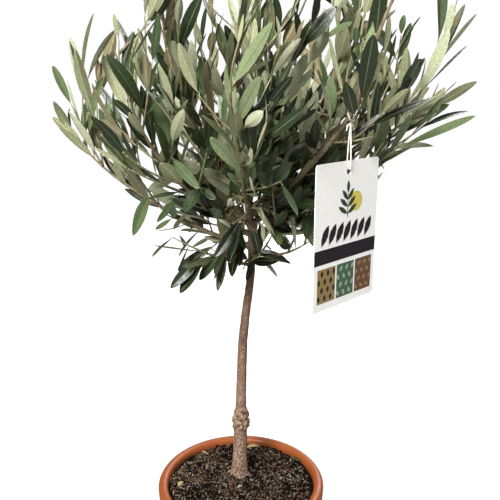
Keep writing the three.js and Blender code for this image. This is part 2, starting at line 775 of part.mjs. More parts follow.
// A shoot's rod, straight between its turns. A side shoot's root is thin enough to end in the stem.
function shootGeometry({ key, points, radius }) {
  const last = points.length - 1;
  const turns = points.map((_, i) => i).filter((i) => i % 2 === 0 || i === last);
  const radii = turns.map((i) => radius + (SHOOT_TIP_RADIUS - radius) * (i / last));
  if (key > 0) radii[0] = SHOOT_ROOT_RADIUS;
  return tubeGeometry(turns.map((i) => points[i]), radii, 3);
}

// One leaf at a node stands for the pair that grows there: the first of the two that fits and
// crosses none of the mass's shoots and leaves.
function foliageGeometry(mass, trunkRoom) {
  const shoots = shootsOf(mass);
  let whole = wasm.Manifold.union(shoots.map((shoot) => solidOf(shootGeometry(shoot))));
  for (const shoot of shoots) {
    for (let i = 1; i < shoot.points.length; i++) {
      const first = (i + shoot.key) % 2 === 0 ? 0 : 180;
      for (const side of [first, 180 - first]) {
        const leaf = leafAt(mass, shoot, i, side);
        if (!leafFits(mass, leaf)) continue;
        const solid = solidOf(leafGeometry(leaf));
        if (solid.intersect(whole).volume() > LEAF_SUNK) continue;
        whole = whole.add(solid);
        break;
      }
    }
  }
  return fused(mass.low ? whole.subtract(trunkRoom) : whole);
}

const tree = new THREE.Group();

function add(name, geometry, material) {
  const mesh = new THREE.Mesh(geometry, material);
  mesh.name = name;
  tree.add(mesh);
}

add("pot", potGeometry(), colours.pot);
add("soil", soilGeometry(), colours.soil);
add("trunk", trunkGeometry(), colours.bark);
const trunkRoom = solidOf(trunkGeometry(SEAT_GAP));
for (const bough of BOUGHS) {
  add("bough_" + bough.name, fused(boughTube(bough).subtract(trunkRoom)), colours.twig);
}
for (const mass of masses) {
  add("foliage_" + mass.name, foliageGeometry(mass, trunkRoom), colours.foliage);
}
const card = cardMesh();
card.name = "card";
tree.add(card);
add("card_string", stringGeometry(), colours.string);

export default tree;
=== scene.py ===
"""A young olive tree, grown as a standard on one slim trunk, in a round terracotta-coloured pot,
with a hanging card on one of its boughs. Shapes are worked out in millimetres, in the frame of the
solids: +Z up, the viewer's side is -Y. Their meshes are in metres."""

import math

import bpy
import numpy as np
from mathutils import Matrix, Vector, noise


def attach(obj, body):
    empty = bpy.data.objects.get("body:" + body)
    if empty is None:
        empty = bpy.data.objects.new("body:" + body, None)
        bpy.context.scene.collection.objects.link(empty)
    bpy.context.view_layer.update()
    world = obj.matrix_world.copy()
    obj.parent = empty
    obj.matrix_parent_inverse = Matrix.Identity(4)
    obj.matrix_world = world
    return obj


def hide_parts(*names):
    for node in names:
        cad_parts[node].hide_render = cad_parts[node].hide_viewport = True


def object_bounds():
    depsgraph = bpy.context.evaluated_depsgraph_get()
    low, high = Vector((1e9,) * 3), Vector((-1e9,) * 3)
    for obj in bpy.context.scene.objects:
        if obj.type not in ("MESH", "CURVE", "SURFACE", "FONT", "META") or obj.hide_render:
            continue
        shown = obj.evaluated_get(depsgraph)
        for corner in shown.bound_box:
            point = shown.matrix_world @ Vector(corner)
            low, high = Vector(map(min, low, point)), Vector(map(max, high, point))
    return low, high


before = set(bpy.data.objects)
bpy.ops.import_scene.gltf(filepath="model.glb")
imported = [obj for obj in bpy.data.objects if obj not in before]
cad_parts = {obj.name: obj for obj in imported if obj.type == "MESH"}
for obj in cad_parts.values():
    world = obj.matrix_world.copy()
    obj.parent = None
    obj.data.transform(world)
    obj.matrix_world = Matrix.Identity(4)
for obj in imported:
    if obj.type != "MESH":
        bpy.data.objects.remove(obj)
cad_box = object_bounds()

MM = 0.001
BOX_MARGIN = 1.2  # between a leaf and the box of the solids
box_low = np.array(cad_box[0]) / MM + BOX_MARGIN
box_high = np.array(cad_box[1]) / MM - BOX_MARGIN
UP = np.array([0.0, 0.0, 1.0])

# The pot and its compost
POT_HEIGHT = 165
RIM_RADIUS = 95
RIM_WIDTH = 11
RIM_DEPTH = 24
RIM_ROUNDING = 5
FOOT_RADIUS = 66
WALL = 3.5
POT_FLOOR = 5
DRAIN_HOLES = 6
DRAIN_RADIUS = 5
DRAIN_CIRCLE = 46
SOIL_DROP = 5
SOIL_DOME = 2  # how much higher the compost is in its middle
INNER_TOP = RIM_RADIUS - RIM_WIDTH
GROUND = POT_HEIGHT - SOIL_DROP + SOIL_DOME

# The trunk and its boughs
SEAT_GAP = 0.3
TRUNK_FOOT = GROUND + SEAT_GAP
TRUNK_TOP = 505
TRUNK_FOOT_RADIUS = 6.9
TRUNK_TOP_RADIUS = 3.4
ROOT_FLARE = 1.9
ROOT_FLARE_HEIGHT = 14
KNOT_HEIGHT = 234
KNOT_SPAN = 13
KNOT_BULGE = 4.2
KNOT_TURN = 285
KNOT_EDGE = 1.5  # how steeply the knot ends above and below
KNOT_EVEN = 0.62  # the bulge's share that is the same all round
TRUNK_POINTS = np.array(
    [[-2, 15, TRUNK_FOOT], [0, 14, 250], [3, 15, 335], [12, 15, 420], [9, 14, TRUNK_TOP]], float
)
# name: azimuth, height at which it leaves the trunk, reach, rise, stray, upright
BOUGHS = {
    "right": (354, 451, 70, 38, 0.12, 0),
    "right_back": (36, 463, 66, 34, 0, 0),
    "back": (82, 441, 66, 38, 0, 0),
    "left_back": (134, 464, 64, 34, 0, 0),
    "left": (184, 438, 78, 34, 0.12, 0),
    "front_left": (229, 452, 64, 36, 0, 0),
    "front": (266, 467, 62, 32, 0, 0),
    "front_right": (305, 473, 152, 117, 0, 1.3),
    "inner_right": (12, 479, 46, 48, 0, 0),
    "inner_back": (108, 475, 42, 52, 0, 0),
    "inner_left": (200, 485, 38, 44, 0, 0),
    "inner_front": (285, 491, 40, 44, 0, 0),
}
BOUGH_RADIUS = 3.2
BOUGH_TIP_RADIUS = 2
BOUGH_STEPS = 6
BEND_OUT = 0.56  # where a bough bends: share of its reach
BEND_UP = 0.36  # and share of its rise
INNER_REACH = 55
# name: azimuth, height at which it leaves the trunk, tilt
LOW_SPRAYS = {
    "low_front": (254, 424, 8),
    "low_left": (188, 417, 14),
    "low_right": (330, 428, 6),
    "low_back": (66, 419, 10),
}

# The crown's outline
CROWN_CENTRE = np.array([24.0, 12.0, 590.0])
CROWN_LEAN = 0.13
CROWN_RADIUS = 206
CROWN_ABOVE = 176
CROWN_BELOW = 215
DOME_POWER = 2
BOWL_POWER = 1.1
CROWN_RAGGED = 0.13

# How a mass of foliage grows
SEED = 20417
NODE_STEP = 23
STEM_NODES = 10
LOW_STEM_NODES = 4
SHOOT_NODES = 6
FORK_ANGLE = 46
FORK_CHANCE = 0.8
FORK_RISE = 0.3
LIFT = 0.3
WANDER = 0.17
STEM_RADIUS = 1.9
SHOOT_RADIUS = 1.4
SHOOT_TIP_RADIUS = 0.8
LEAF_STEP = 10.2  # between two pairs of leaves low inside the crown
LEAF_STEP_OUT = 7  # more at the crown's outline
LEAF_STEP_UP = 15  # more high on the crown
LEAF_LENGTH = 44
DEEP_FROM, DEEP_OVER, DEEPEST = 690, 230, 1.3  # heights for the painted shade that darkens leaves low on the crown
LOW_FROM, LOW_OVER = 560, 100  # heights for what low leaves do
SPREAD_FROM, SPREAD_OVER = 50, 70  # distances from the trunk
UPRIGHT_FROM, UPRIGHT_OVER = 500, 60  # heights from which leaves turn up everywhere
DROOP, DROOP_VARIETY = 0.6, 0.7  # of the leaves that hang
SPREAD_RISE = 2.6
SPREAD_LESS_HANGING = 0.25
LEAF_SLENDERNESS = 0.228  # width for length
LEAF_ANGLE = 31
LOW_LEAF_ANGLE = 62  # on the short sprays low on the trunk
TIP_LEAF_ANGLE = 14  # of the pairs at a shoot's tip
LEAF_ANGLE_SWAY = 14
LEAF_TURN_SWAY = 28
LEAST_LENGTH = 0.42  # of a leaf, as a share of LEAF_LENGTH
LENGTH_VARIETY = 0.88  # by how much more the longest ones differ
LEAST_WIDTH = 0.74
WIDTH_VARIETY = 0.56
LOW_LONGER = 0.1  # leaves low on the crown are a little larger
LOW_WIDER = 0.25
LOW_LEAF_RISE = 0.12
LOW_HANGING = 0.12
LEAF_RISE = 0.34  # how much a leaf turns up
LEAF_ROLL = 0.85  # how far a leaf turns round its own line
HANGING = 0.34  # share of the lowest leaves that hang
HANGING_STRAY = 0.2  # how far these pass the crown's outline
OUTER_MIDDLE = (150, -26)
INNER_MIDDLE = (76, 4)
LOW_MIDDLE = 40
INNER_WEIGHT = -2200
LEADER_WEIGHT = -4200
LOW_WEIGHT = -9000
SPACE_MARGIN = 0.5
LIMB_MARGIN = 0.8

# The hanging card and its string
CARD_WIDTH = 88
CARD_HEIGHT = 128
CARD_THICKNESS = 0.8
CARD_CORNER = 3
CARD_TURN = 45
CARD_HOLE_RADIUS = 3
CARD_HOLE_DROP = 9
CARD_BOUGH = "front_right"
CARD_PLACE = 0.96
STRING_LENGTH = 46
STRING_RADIUS = 0.7
STRING_KNOT_DROP = 9
STRAND_RADIUS = 0.55  # the string's single strand
KNOT_POINTS = 40
KNOT_POINTS_ROUND = 13
STRING_TAIL = ((0.4, 0), (2.2, 0.6), (4.2, -1.2), (5.2, -4.5))


def unit(v):
    return v / math.sqrt(v @ v)


def clamped(value):
    return min(1, max(0, value))


def chance(*keys):
    """A number from 0 to 1 that is always the same for the same keys."""
    mixed = SEED
    for key in keys:
        mixed = ((mixed ^ ((key + 0x9E3779B9) & 0xFFFFFFFF)) * 0x85EBCA6B) & 0xFFFFFFFF
        mixed ^= mixed >> 13
        mixed = (mixed * 0xC2B2AE35) & 0xFFFFFFFF
        mixed ^= mixed >> 16
    return mixed / 4294967296


def sway(*keys):
    return 2 * chance(*keys) - 1


# Limbs


def between(a, b, c, d, w):
    """A point between b and c, on a smooth curve that comes from a and goes on to d."""
    start, end = (c - a) / 2, (d - b) / 2
    return (
        b + start * w + (3 * c - 3 * b - 2 * start - end) * w**2
        + (2 * b - 2 * c + start + end) * w**3
    )


def trunk_curve(share):
    """A point of the trunk's axis, from 0 at its foot to 1 at its top."""
    place = (len(TRUNK_POINTS) - 1) * share
    i = min(int(place), len(TRUNK_POINTS) - 2)
    b, c = TRUNK_POINTS[i], TRUNK_POINTS[i + 1]
    a = TRUNK_POINTS[i - 1] if i > 0 else 2 * b - c
    d = TRUNK_POINTS[i + 2] if i + 2 < len(TRUNK_POINTS) else 2 * c - b
    return between(a, b, c, d, place - i)


def trunk_axis(height):
    low, high = 0.0, 1.0
    for _ in range(40):
        middle = (low + high) / 2
        if trunk_curve(middle)[2] < height:
            low = middle
        else:
            high = middle
    point = trunk_curve(low)
    point[2] = height
    return point


def trunk_radius(height):
    share = (height - TRUNK_FOOT) / (TRUNK_TOP - TRUNK_FOOT)
    taper = TRUNK_FOOT_RADIUS + (TRUNK_TOP_RADIUS - TRUNK_FOOT_RADIUS) * share
    return taper + ROOT_FLARE * math.exp(-max(0, height - TRUNK_FOOT) / ROOT_FLARE_HEIGHT)


def knot_bulge(height, angle):
    away = (height - KNOT_HEIGHT) / KNOT_SPAN
    facing = KNOT_EVEN + (1 - KNOT_EVEN) * math.cos(angle - math.radians(KNOT_TURN))
    return KNOT_BULGE * math.exp(-KNOT_EDGE * away**4) * facing


def outward(azimuth):
    return np.array([math.cos(math.radians(azimuth)), math.sin(math.radians(azimuth)), 0.0])


def bough_point(name, share):
    azimuth, height, reach, rise = BOUGHS[name][:4]
    start = trunk_axis(height)
    bend = start + outward(azimuth) * reach * BEND_OUT + UP * rise * BEND_UP
    tip = start + outward(azimuth) * reach + UP * rise
    return start * (1 - share) ** 2 + bend * 2 * share * (1 - share) + tip * share**2


def bough_tangent(name, share):
    before, after = max(0, share - 1e-4), min(1, share + 1e-4)
    return unit(bough_point(name, after) - bough_point(name, before))


def bough_radius(share):
    return BOUGH_RADIUS + (BOUGH_TIP_RADIUS - BOUGH_RADIUS) * share


# Card and string places

string_top = bough_point(CARD_BOUGH, CARD_PLACE)
string_across = unit(np.cross(bough_tangent(CARD_BOUGH, CARD_PLACE), UP))
string_over = np.cross(string_across, bough_tangent(CARD_BOUGH, CARD_PLACE))
card_wide = outward(CARD_TURN)
card_facing = outward(CARD_TURN - 90)
card_hole = string_top - UP * STRING_LENGTH

# The growth of the crown


class Mass:
    """One mass of foliage, which keeps to the points that are nearest to its middle."""

    def __init__(self, name, start, heading, middle, weight, stray=0, nodes=STEM_NODES, low=False):
        self.name, self.start, self.heading, self.middle = name, start, heading, middle
        self.weight, self.stray, self.nodes, self.low = weight, stray, nodes, low


def mass_list():
    found = []
    for name, (azimuth, _, reach, _, stray, upright) in BOUGHS.items():
        inner = reach < INNER_REACH
        away, above = INNER_MIDDLE if inner else OUTER_MIDDLE
        middle = CROWN_CENTRE + UP * above + outward(azimuth) * away
        tangent = bough_tangent(name, 1)
        heading = unit(tangent + UP * upright)
        tilt = np.linalg.norm(np.cross(heading, tangent))
        start = bough_point(name, 1) + tangent * (SEAT_GAP + STEM_RADIUS * tilt)
        found.append(Mass(name, start, heading, middle, INNER_WEIGHT if inner else 0, stray))
    leader = trunk_axis(TRUNK_TOP) + UP * SEAT_GAP
    found.append(Mass("leader", leader, UP.copy(), CROWN_CENTRE.copy(), LEADER_WEIGHT))
    for name, (azimuth, height, tilt) in LOW_SPRAYS.items():
        start = trunk_axis(height)
        heading = outward(azimuth) * math.cos(math.radians(tilt)) + UP * math.sin(math.radians(tilt))
        middle = start + heading * LOW_MIDDLE
        found.append(Mass(name, start, heading, middle, LOW_WEIGHT, 0.1, LOW_STEM_NODES, True))
    for index, mass in enumerate(found):
        mass.index = index
    return found


masses = mass_list()
middles = np.array([mass.middle for mass in masses])
weights = np.array([mass.weight for mass in masses], float)
middle_gaps = np.linalg.norm(middles[:, None] - middles[None], axis=2)


def limb_lines():
    """The limbs as lines: two ends, a radius, and the masses that they feed."""
    lines = []
    heights = [390, 420, 450, 480, TRUNK_TOP]
    for low, high in zip(heights, heights[1:]):
        fed = ["leader", *LOW_SPRAYS]
        lines.append((trunk_axis(low), trunk_axis(high), trunk_radius(low), fed))
    for name in BOUGHS:
        points = [bough_point(name, i / BOUGH_STEPS) for i in range(BOUGH_STEPS + 1)]
        for i in range(BOUGH_STEPS):
            lines.append((points[i], points[i + 1], bough_radius(i / BOUGH_STEPS), [name]))
    lines.append((string_top, card_hole, 3.0, []))
    return lines


limbs = limb_lines()
limb_start = np.array([limb[0] for limb in limbs])
limb_along = np.array([limb[1] - limb[0] for limb in limbs])
limb_length2 = (limb_along**2).sum(1)
limb_radius = np.array([limb[2] for limb in limbs])
fed_names = [mass.name for mass in masses] + ["none"]
feeds = {name: np.array([name in limb[3] for limb in limbs]) for name in fed_names}


def in_space(mass, point, margin):
    reach = ((point - middles) ** 2).sum(1) - weights
    clear = reach - reach[mass.index] > 2 * margin * middle_gaps[mass.index]
    clear[mass.index] = True
    return clear.all()


def crown_share(point):
    """1 on the crown's outline, less inside it."""
    x, y, z = CROWN_CENTRE
    power, high = (DOME_POWER, CROWN_ABOVE) if point[2] > z else (BOWL_POWER, CROWN_BELOW)
    across = math.hypot(point[0] - x - CROWN_LEAN * (point[2] - z), point[1] - y) / CROWN_RADIUS
    return (across**power + (abs(point[2] - z) / high) ** power) ** (1 / power)


def touches(point, radius, own="none"):
    """Whether a ball meets a limb or the card."""
    away = point - limb_start
    share = np.clip((away * limb_along).sum(1) / limb_length2, 0, 1)
    gap = np.linalg.norm(away - limb_along * share[:, None], axis=1)
    if ((gap < limb_radius + radius + LIMB_MARGIN) & ~feeds[own]).any():
        return True
    offset = point - card_hole
    room = radius + LIMB_MARGIN
    return (
        abs(offset @ card_facing) < CARD_THICKNESS / 2 + room
        and abs(offset @ card_wide) < CARD_WIDTH / 2 + room
        and CARD_HOLE_DROP - CARD_HEIGHT - 2 * CARD_HOLE_RADIUS - room < offset[2] < CARD_HOLE_DROP + room
    )


def grow_shoot(mass, key, start, heading, nodes, radius):
    """A shoot as a list of nodes. It turns up, and stops where it would leave its mass's space."""
    is_stem = key == 0
    short = -mass.stray if is_stem else CROWN_RAGGED * chance(mass.index, key, 1)
    limit = 0.97 - (0 if mass.low else short)
    points = [start.copy()]
    along = unit(heading)

    def fits(following, own):
        return (
            in_space(mass, following, radius + SPACE_MARGIN)
            and crown_share(following) < max(limit, crown_share(points[-1]))
            and (len(points) == 1 or not touches((points[-1] + following) / 2, radius, own))
            and not touches(following, radius, own)
        )

    for i in range(1, nodes + 1):
        own = mass.name if is_stem and i < 3 else "none"
        last = points[i - 1]
        following = last + along * NODE_STEP
        turn = 0
        while turn < 3 and i % 2 == 1 and not fits(following, own):
            along = unit(along + 0.5 * unit(mass.middle + UP * 60 - last))
            following = last + along * NODE_STEP
            turn += 1
        if not fits(following, own):
            break
        points.append(following)
        if i % 2 == 1:
            continue
        rise = 2 * LIFT * i / nodes if is_stem else LIFT
        strays = [WANDER * sway(mass.index, key, i, k) for k in (2, 3, 4)]
        along = unit(along + UP * rise + np.array(strays))
    return points


def across_of(along):
    first = np.array([along[2], 0.0, -along[0]])
    if first @ first < 1e-6:
        first = np.array([1.0, 0.0, 0.0])
    first = unit(first - along * (first @ along))
    return first, np.cross(along, first)


def tilted(along, degrees, turn):
    first, second = across_of(along)
    lean, turn = math.radians(degrees), math.radians(turn)
    return along * math.cos(lean) + (first * math.cos(turn) + second * math.sin(turn)) * math.sin(lean)


def shoots_of(mass):
    """Every shoot of a mass as (key, nodes, radius): its stem first, then the side shoots."""
    stem = grow_shoot(mass, 0, mass.start, mass.heading, mass.nodes, STEM_RADIUS)
    found = [(0, stem, STEM_RADIUS)]
    for i in range(1, len(stem) - 1):
        along = unit(stem[i] - stem[i - 1])
        for side in range(2):
            key = 2 * i + side
            if chance(mass.index, key, 11) > FORK_CHANCE:
                continue
            turn = 90 * i + 180 * side + 45 + 30 * sway(mass.index, key, 5)
            heading = tilted(along, FORK_ANGLE + 8 * sway(mass.index, key, 6), turn) + UP * FORK_RISE
            full = SHOOT_NODES - 3 if mass.low else SHOOT_NODES
            nodes = math.floor(full - 2 * chance(mass.index, key, 7) + 0.5)
            points = grow_shoot(mass, key, stem[i], heading, nodes, SHOOT_RADIUS)
            if len(points) > 2:
                found.append((key, points, SHOOT_RADIUS))
    return found


def painted_shade_at(height):
    """How much painted shade a leaf gets: 0 high on the crown, 1 low on it and a little more below that."""
    return min(DEEPEST, max(0, (DEEP_FROM - height) / DEEP_OVER))


def lowness(height):
    """1 low on the crown, 0 well above that."""
    return clamped((LOW_FROM - height) / LOW_OVER)


def spread_at(point):
    """0 near the trunk, 1 well away from it."""
    away = np.linalg.norm((point - TRUNK_POINTS[-1])[:2])
    return clamped((away - SPREAD_FROM) / SPREAD_OVER)


def leaf_at(index, key, line, place, pair, side, size, narrowing=1, low_spray=False, stretch=1):
    """A leaf's root, direction, the way its upper side faces, length and width."""
    last = place >= len(line) - 2
    along = unit(line[min(place + 1, len(line) - 1)] - line[max(place - 1, 0)])
    turn = 90 * pair + side + LEAF_TURN_SWAY * sway(index, key, pair, 8 + side)
    low, spread = lowness(line[place][2]), spread_at(line[place])
    if low_spray:
        angle, rise, hanging = LOW_LEAF_ANGLE, LOW_LEAF_RISE, LOW_HANGING
    else:
        angle, hanging = LEAF_ANGLE, HANGING * low * (1 - SPREAD_LESS_HANGING * spread)
        upright = min(1, max(-0.4, (line[place][2] - UPRIGHT_FROM) / UPRIGHT_OVER))
        rise = LEAF_RISE * max(spread * (1 + SPREAD_RISE * low), upright)
    angle = TIP_LEAF_ANGLE if last and not low_spray else angle
    lean = narrowing * (angle + LEAF_ANGLE_SWAY * sway(index, key, pair, 9 + side))
    if chance(index, key, pair, 50 + side) < hanging:
        rise = -DROOP - DROOP_VARIETY * chance(index, key, pair, 51 + side)
    direction = unit(tilted(along, lean, turn) + UP * rise)
    facing = along - direction * (along @ direction)
    facing = unit(facing) if facing @ facing > 1e-4 else across_of(direction)[0]
    roll = LEAF_ROLL * sway(index, key, pair, 60 + side)
    facing = facing * math.cos(roll) + np.cross(direction, facing) * math.sin(roll)
    large = chance(index, key, pair, 10 + side)
    length = LEAF_LENGTH * size * (LEAST_LENGTH + LENGTH_VARIETY * large) * (1 + LOW_LONGER * low)
    wide = LEAST_WIDTH + WIDTH_VARIETY * chance(index, key, pair, 12 + side)
    width = length * LEAF_SLENDERNESS * wide * (1 + LOW_WIDER * low)
    width *= 1.38 - 0.42 * large  # small leaves are broader for their length
    return line[place], direction, facing, stretch * length, width


def leaf_fits(leaf, form, stray, mass=None):
    root, direction, facing, length, width = leaf
    across = np.cross(direction, facing)
    curve = facing * form[0] + across * form[1]

    def middle(share):
        return root + length * (direction * share + curve * share**2)

    tip = middle(1)
    side = across * width / 2
    corners = [root, tip, middle(0.5) + side, middle(0.5) - side]
    if any((corner < box_low).any() or (corner > box_high).any() for corner in corners):
        return False
    if mass and not all(in_space(mass, corner, SPACE_MARGIN) for corner in corners):
        return False
    if crown_share(tip) > 1 + (max(stray, HANGING_STRAY) if direction[2] < -0.3 else stray):
        return False
    return not any(
        touches(middle(share), width * (0.5 - abs(share - 0.5)) + 0.5) for share in (0.3, 0.5, 0.7, 0.85, 1)
    )


# Meshes


class Pile:
    """The points and faces of one joined mesh, with the number of a material for each face."""

    def __init__(self):
        self.points, self.faces, self.looks, self.count = [], [], [], 0

    def add(self, points, faces, looks):
        self.points.append(np.asarray(points, float))
        self.faces += [tuple(i + self.count for i in face) for face in faces]
        self.looks += [looks] * len(faces) if isinstance(looks, int) else list(looks)
        self.count += len(points)

    def piece(self, name, materials, smooth=True):
        mesh = bpy.data.meshes.new(name)
        mesh.from_pydata((np.concatenate(self.points) * MM).tolist(), [], self.faces)
        for material in materials:
            mesh.materials.append(material)
        mesh.polygons.foreach_set("material_index", self.looks)
        mesh.polygons.foreach_set("use_smooth", [smooth] * len(self.faces))
        mesh.update()
        return placed(bpy.data.objects.new(name, mesh))


def placed(obj):
    bpy.context.scene.collection.objects.link(obj)
    return obj


def smooth_line(points, steps):
    """Points on a smooth curve through the given ones, a number of steps to each stretch."""
    ends = [2 * points[0] - points[1], *points, 2 * points[-1] - points[-2]]
    stretches = list(zip(ends, ends[1:], ends[2:], ends[3:]))
    line = [between(*stretch, k / steps) for stretch in stretches for k in range(steps)]
    return np.array([*line, points[-1]])


def bands(rows, sides, ring=False):
    """The faces between rows of corners. In a ring, the last row joins the first."""
    faces = []
    for i in range(rows if ring else rows - 1):
        low, high = i * sides, (i + 1) % rows * sides
        for k in range(sides):
            n = (k + 1) % sides
            faces.append((low + k, low + n, high + n, high + k))
    return faces


def closed_bands(rows, sides):
    """The same, with a face over each end."""
    last = (rows - 1) * sides
    return [*bands(rows, sides), tuple(range(sides))[::-1], tuple(range(last, last + sides))]


def tube(points, radii, sides, ring=False):
    """The points and faces of a closed tube. A ring joins its last point to its first."""
    count = len(points)
    corners, side = [], None
    angles = 2 * np.pi * np.arange(sides) / sides
    for i in range(count):
        before = points[(i - 1) % count if ring else max(i - 1, 0)]
        after = points[(i + 1) % count if ring else min(i + 1, count - 1)]
        along = unit(after - before)
        if side is None:
            side = UP if abs(along[2]) < 0.9 else np.array([1.0, 0.0, 0.0])
        side = unit(side - along * (side @ along))
        other = np.cross(along, side)
        round_it = np.outer(np.cos(angles), side) + np.outer(np.sin(angles), other)
        corners.append(points[i] + radii[i] * round_it)
    return np.concatenate(corners), bands(count, sides, True) if ring else closed_bands(count, sides)


# Materials


def linear(colour):
    """A colour of 0 to 255 as the shader takes it."""
    shares = [c / 255 for c in colour]
    return [s / 12.92 if s <= 0.04045 else ((s + 0.055) / 1.055) ** 2.4 for s in shares] + [1.0]


class Look:
    """A material under making: its nodes and its shader."""

    def __init__(self, name, roughness, **sockets):
        self.material = bpy.data.materials.new(name)
        self.material.use_nodes = True
        self.tree = self.material.node_tree
        self.shader = self.tree.nodes["Principled BSDF"]
        self.shader.inputs["Roughness"].default_value = roughness
        for socket, value in sockets.items():
            self.shader.inputs[socket.replace("_", " ")].default_value = value

    def node(self, kind, inputs=(), **settings):
        node = self.tree.nodes.new(kind)
        for key, value in settings.items():
            setattr(node, key, value)
        for key, value in dict(inputs).items():
            if isinstance(value, bpy.types.NodeSocket):
                self.tree.links.new(value, node.inputs[key])
            else:
                node.inputs[key].default_value = value
        return node

    def place(self, stretch=(1, 1, 1)):
        """The piece's own coordinates, stretched."""
        coordinates = self.node("ShaderNodeTexCoord").outputs["Object"]
        return self.node("ShaderNodeMapping", {"Vector": coordinates, "Scale": stretch}).outputs["Vector"]

    def noise(self, scale, detail=3.0, rough=0.55, stretch=(1, 1, 1)):
        inputs = {"Vector": self.place(stretch), "Scale": scale, "Detail": detail, "Roughness": rough}
        return self.node("ShaderNodeTexNoise", inputs).outputs["Fac"]

    def cells(self, scale, stretch=(1, 1, 1)):
        inputs = {"Vector": self.place(stretch), "Scale": scale}
        return self.node("ShaderNodeTexVoronoi", inputs).outputs["Distance"]

    def ramp(self, value, *stops):
        """A colour for each (place, colour) stop."""
        node = self.node("ShaderNodeValToRGB", {"Fac": value})
        elements = node.color_ramp.elements
        while len(elements) < len(stops):
            elements.new(0.5)
        for element, (place, colour) in zip(elements, stops):
            element.position = place
            element.color = linear(colour)
        return node.outputs["Color"]

    def mixed(self, share, first, second):
        inputs = {"Factor": share, 6: first, 7: second}
        return self.node("ShaderNodeMix", inputs, data_type="RGBA").outputs[2]

    def scaled(self, value, low, high, to_low, to_high):
        inputs = {"Value": value, 1: low, 2: high, 3: to_low, 4: to_high}
        return self.node("ShaderNodeMapRange", inputs).outputs["Result"]

    def colour(self, source):
        if isinstance(source, tuple):
            self.shader.inputs["Base Color"].default_value = linear(source)
        else:
            self.tree.links.new(source, self.shader.inputs["Base Color"])
        return self

    def rough(self, source):
        self.tree.links.new(source, self.shader.inputs["Roughness"])
        return self

    def bump(self, height, strength, distance):
        inputs = {"Height": height, "Strength": strength, "Distance": distance * MM}
        node = self.node("ShaderNodeBump", inputs)
        if self.shader.inputs["Normal"].is_linked:
            self.tree.links.new(self.shader.inputs["Normal"].links[0].from_socket, node.inputs["Normal"])
        self.tree.links.new(node.outputs["Normal"], self.shader.inputs["Normal"])
        return self


def leaf_look(name, colour, roughness, grain, **sockets):
    """A plain leaf colour with a fine mottle and an uneven gloss."""
    look = Look(name, roughness, **sockets)
    dark, pale = (tuple(share * c for c in colour) for share in (0.88, 1.08))
    look.colour(look.ramp(look.noise(520, 4.0, 0.7), (0.34, dark), (0.66, pale)))
    look.rough(look.scaled(look.noise(210, 3.0), 0.35, 0.65, roughness - 0.09, roughness + 0.09))
    look.bump(look.noise(240, 3.0), 0.4, 0.5)
    return look.bump(look.noise(1400, 2.0), grain, 0.2).material


# A leaf's upper and under side, each from the palest shade to the darkest. The darkest are partly painted
# shade, and spray_shades deals darker ones low on the crown.
UPPER_SHADES = [(118, 129, 93), (95, 110, 74), (75, 90, 56), (54, 69, 42), (37, 47, 28), (23, 29, 16)]
UNDER_SHADES = [
    (175, 179, 147), (162, 166, 129), (148, 152, 114), (142, 142, 108), (139, 127, 96), (121, 105, 79)
]
SHADES = len(UPPER_SHADES)
leaf_looks = [
    leaf_look(f"leaf_upper_{i}", shade, 0.34, 0.3, Specular_IOR_Level=0.34)
    for i, shade in enumerate(UPPER_SHADES)
] + [
    leaf_look(f"leaf_under_{i}", shade, 0.75, 0.35, Sheen_Weight=0.08, Specular_IOR_Level=0.15)
    for i, shade in enumerate(UNDER_SHADES)
] + [
    leaf_look("leaf_rib_upper", (90, 99, 70), 0.5, 0.2),
    leaf_look("leaf_rib_under", (186, 188, 148), 0.65, 0.2),
    leaf_look("leaf_stalk", (156, 154, 108), 0.6, 0.2),
]
RIB_UPPER, RIB_UNDER, STALK = 2 * SHADES, 2 * SHADES + 1, 2 * SHADES + 2


def twig_look(name, light, dark):
    look = Look(name, 0.75, Specular_IOR_Level=0.25)
    look.colour(look.ramp(look.noise(260, 4.0, stretch=(1, 1, 0.35)), (0.32, dark), (0.68, light)))
    return look.bump(look.noise(900, 3.0, stretch=(1, 1, 0.3)), 0.5, 0.4).material


twig_looks = [
    twig_look("twig_young", (154, 150, 114), (110, 106, 75)),
    twig_look("twig_old", (146, 131, 104), (92, 79, 61)),
    twig_look("stalk_dry", (158, 142, 103), (110, 94, 64)),
]


# Pits of the healed cut: direction from the trunk's axis, height, radius and depth
KNOT_PITS = [
    (258, 228.5, 2.1, 2.6), (246, 240, 1.4, 1.8), (292, 243, 1.3, 1.6), (214, 233, 1.6, 2),
    (330, 231, 1.5, 1.8),
]


def knot_pits():
    """Each pit's middle on the bark, its radius and its depth."""
    for turn, height, radius, depth in KNOT_PITS:
        out = trunk_radius(height) + knot_bulge(height, math.radians(turn))
        yield trunk_axis(height) + outward(turn) * out, radius, depth


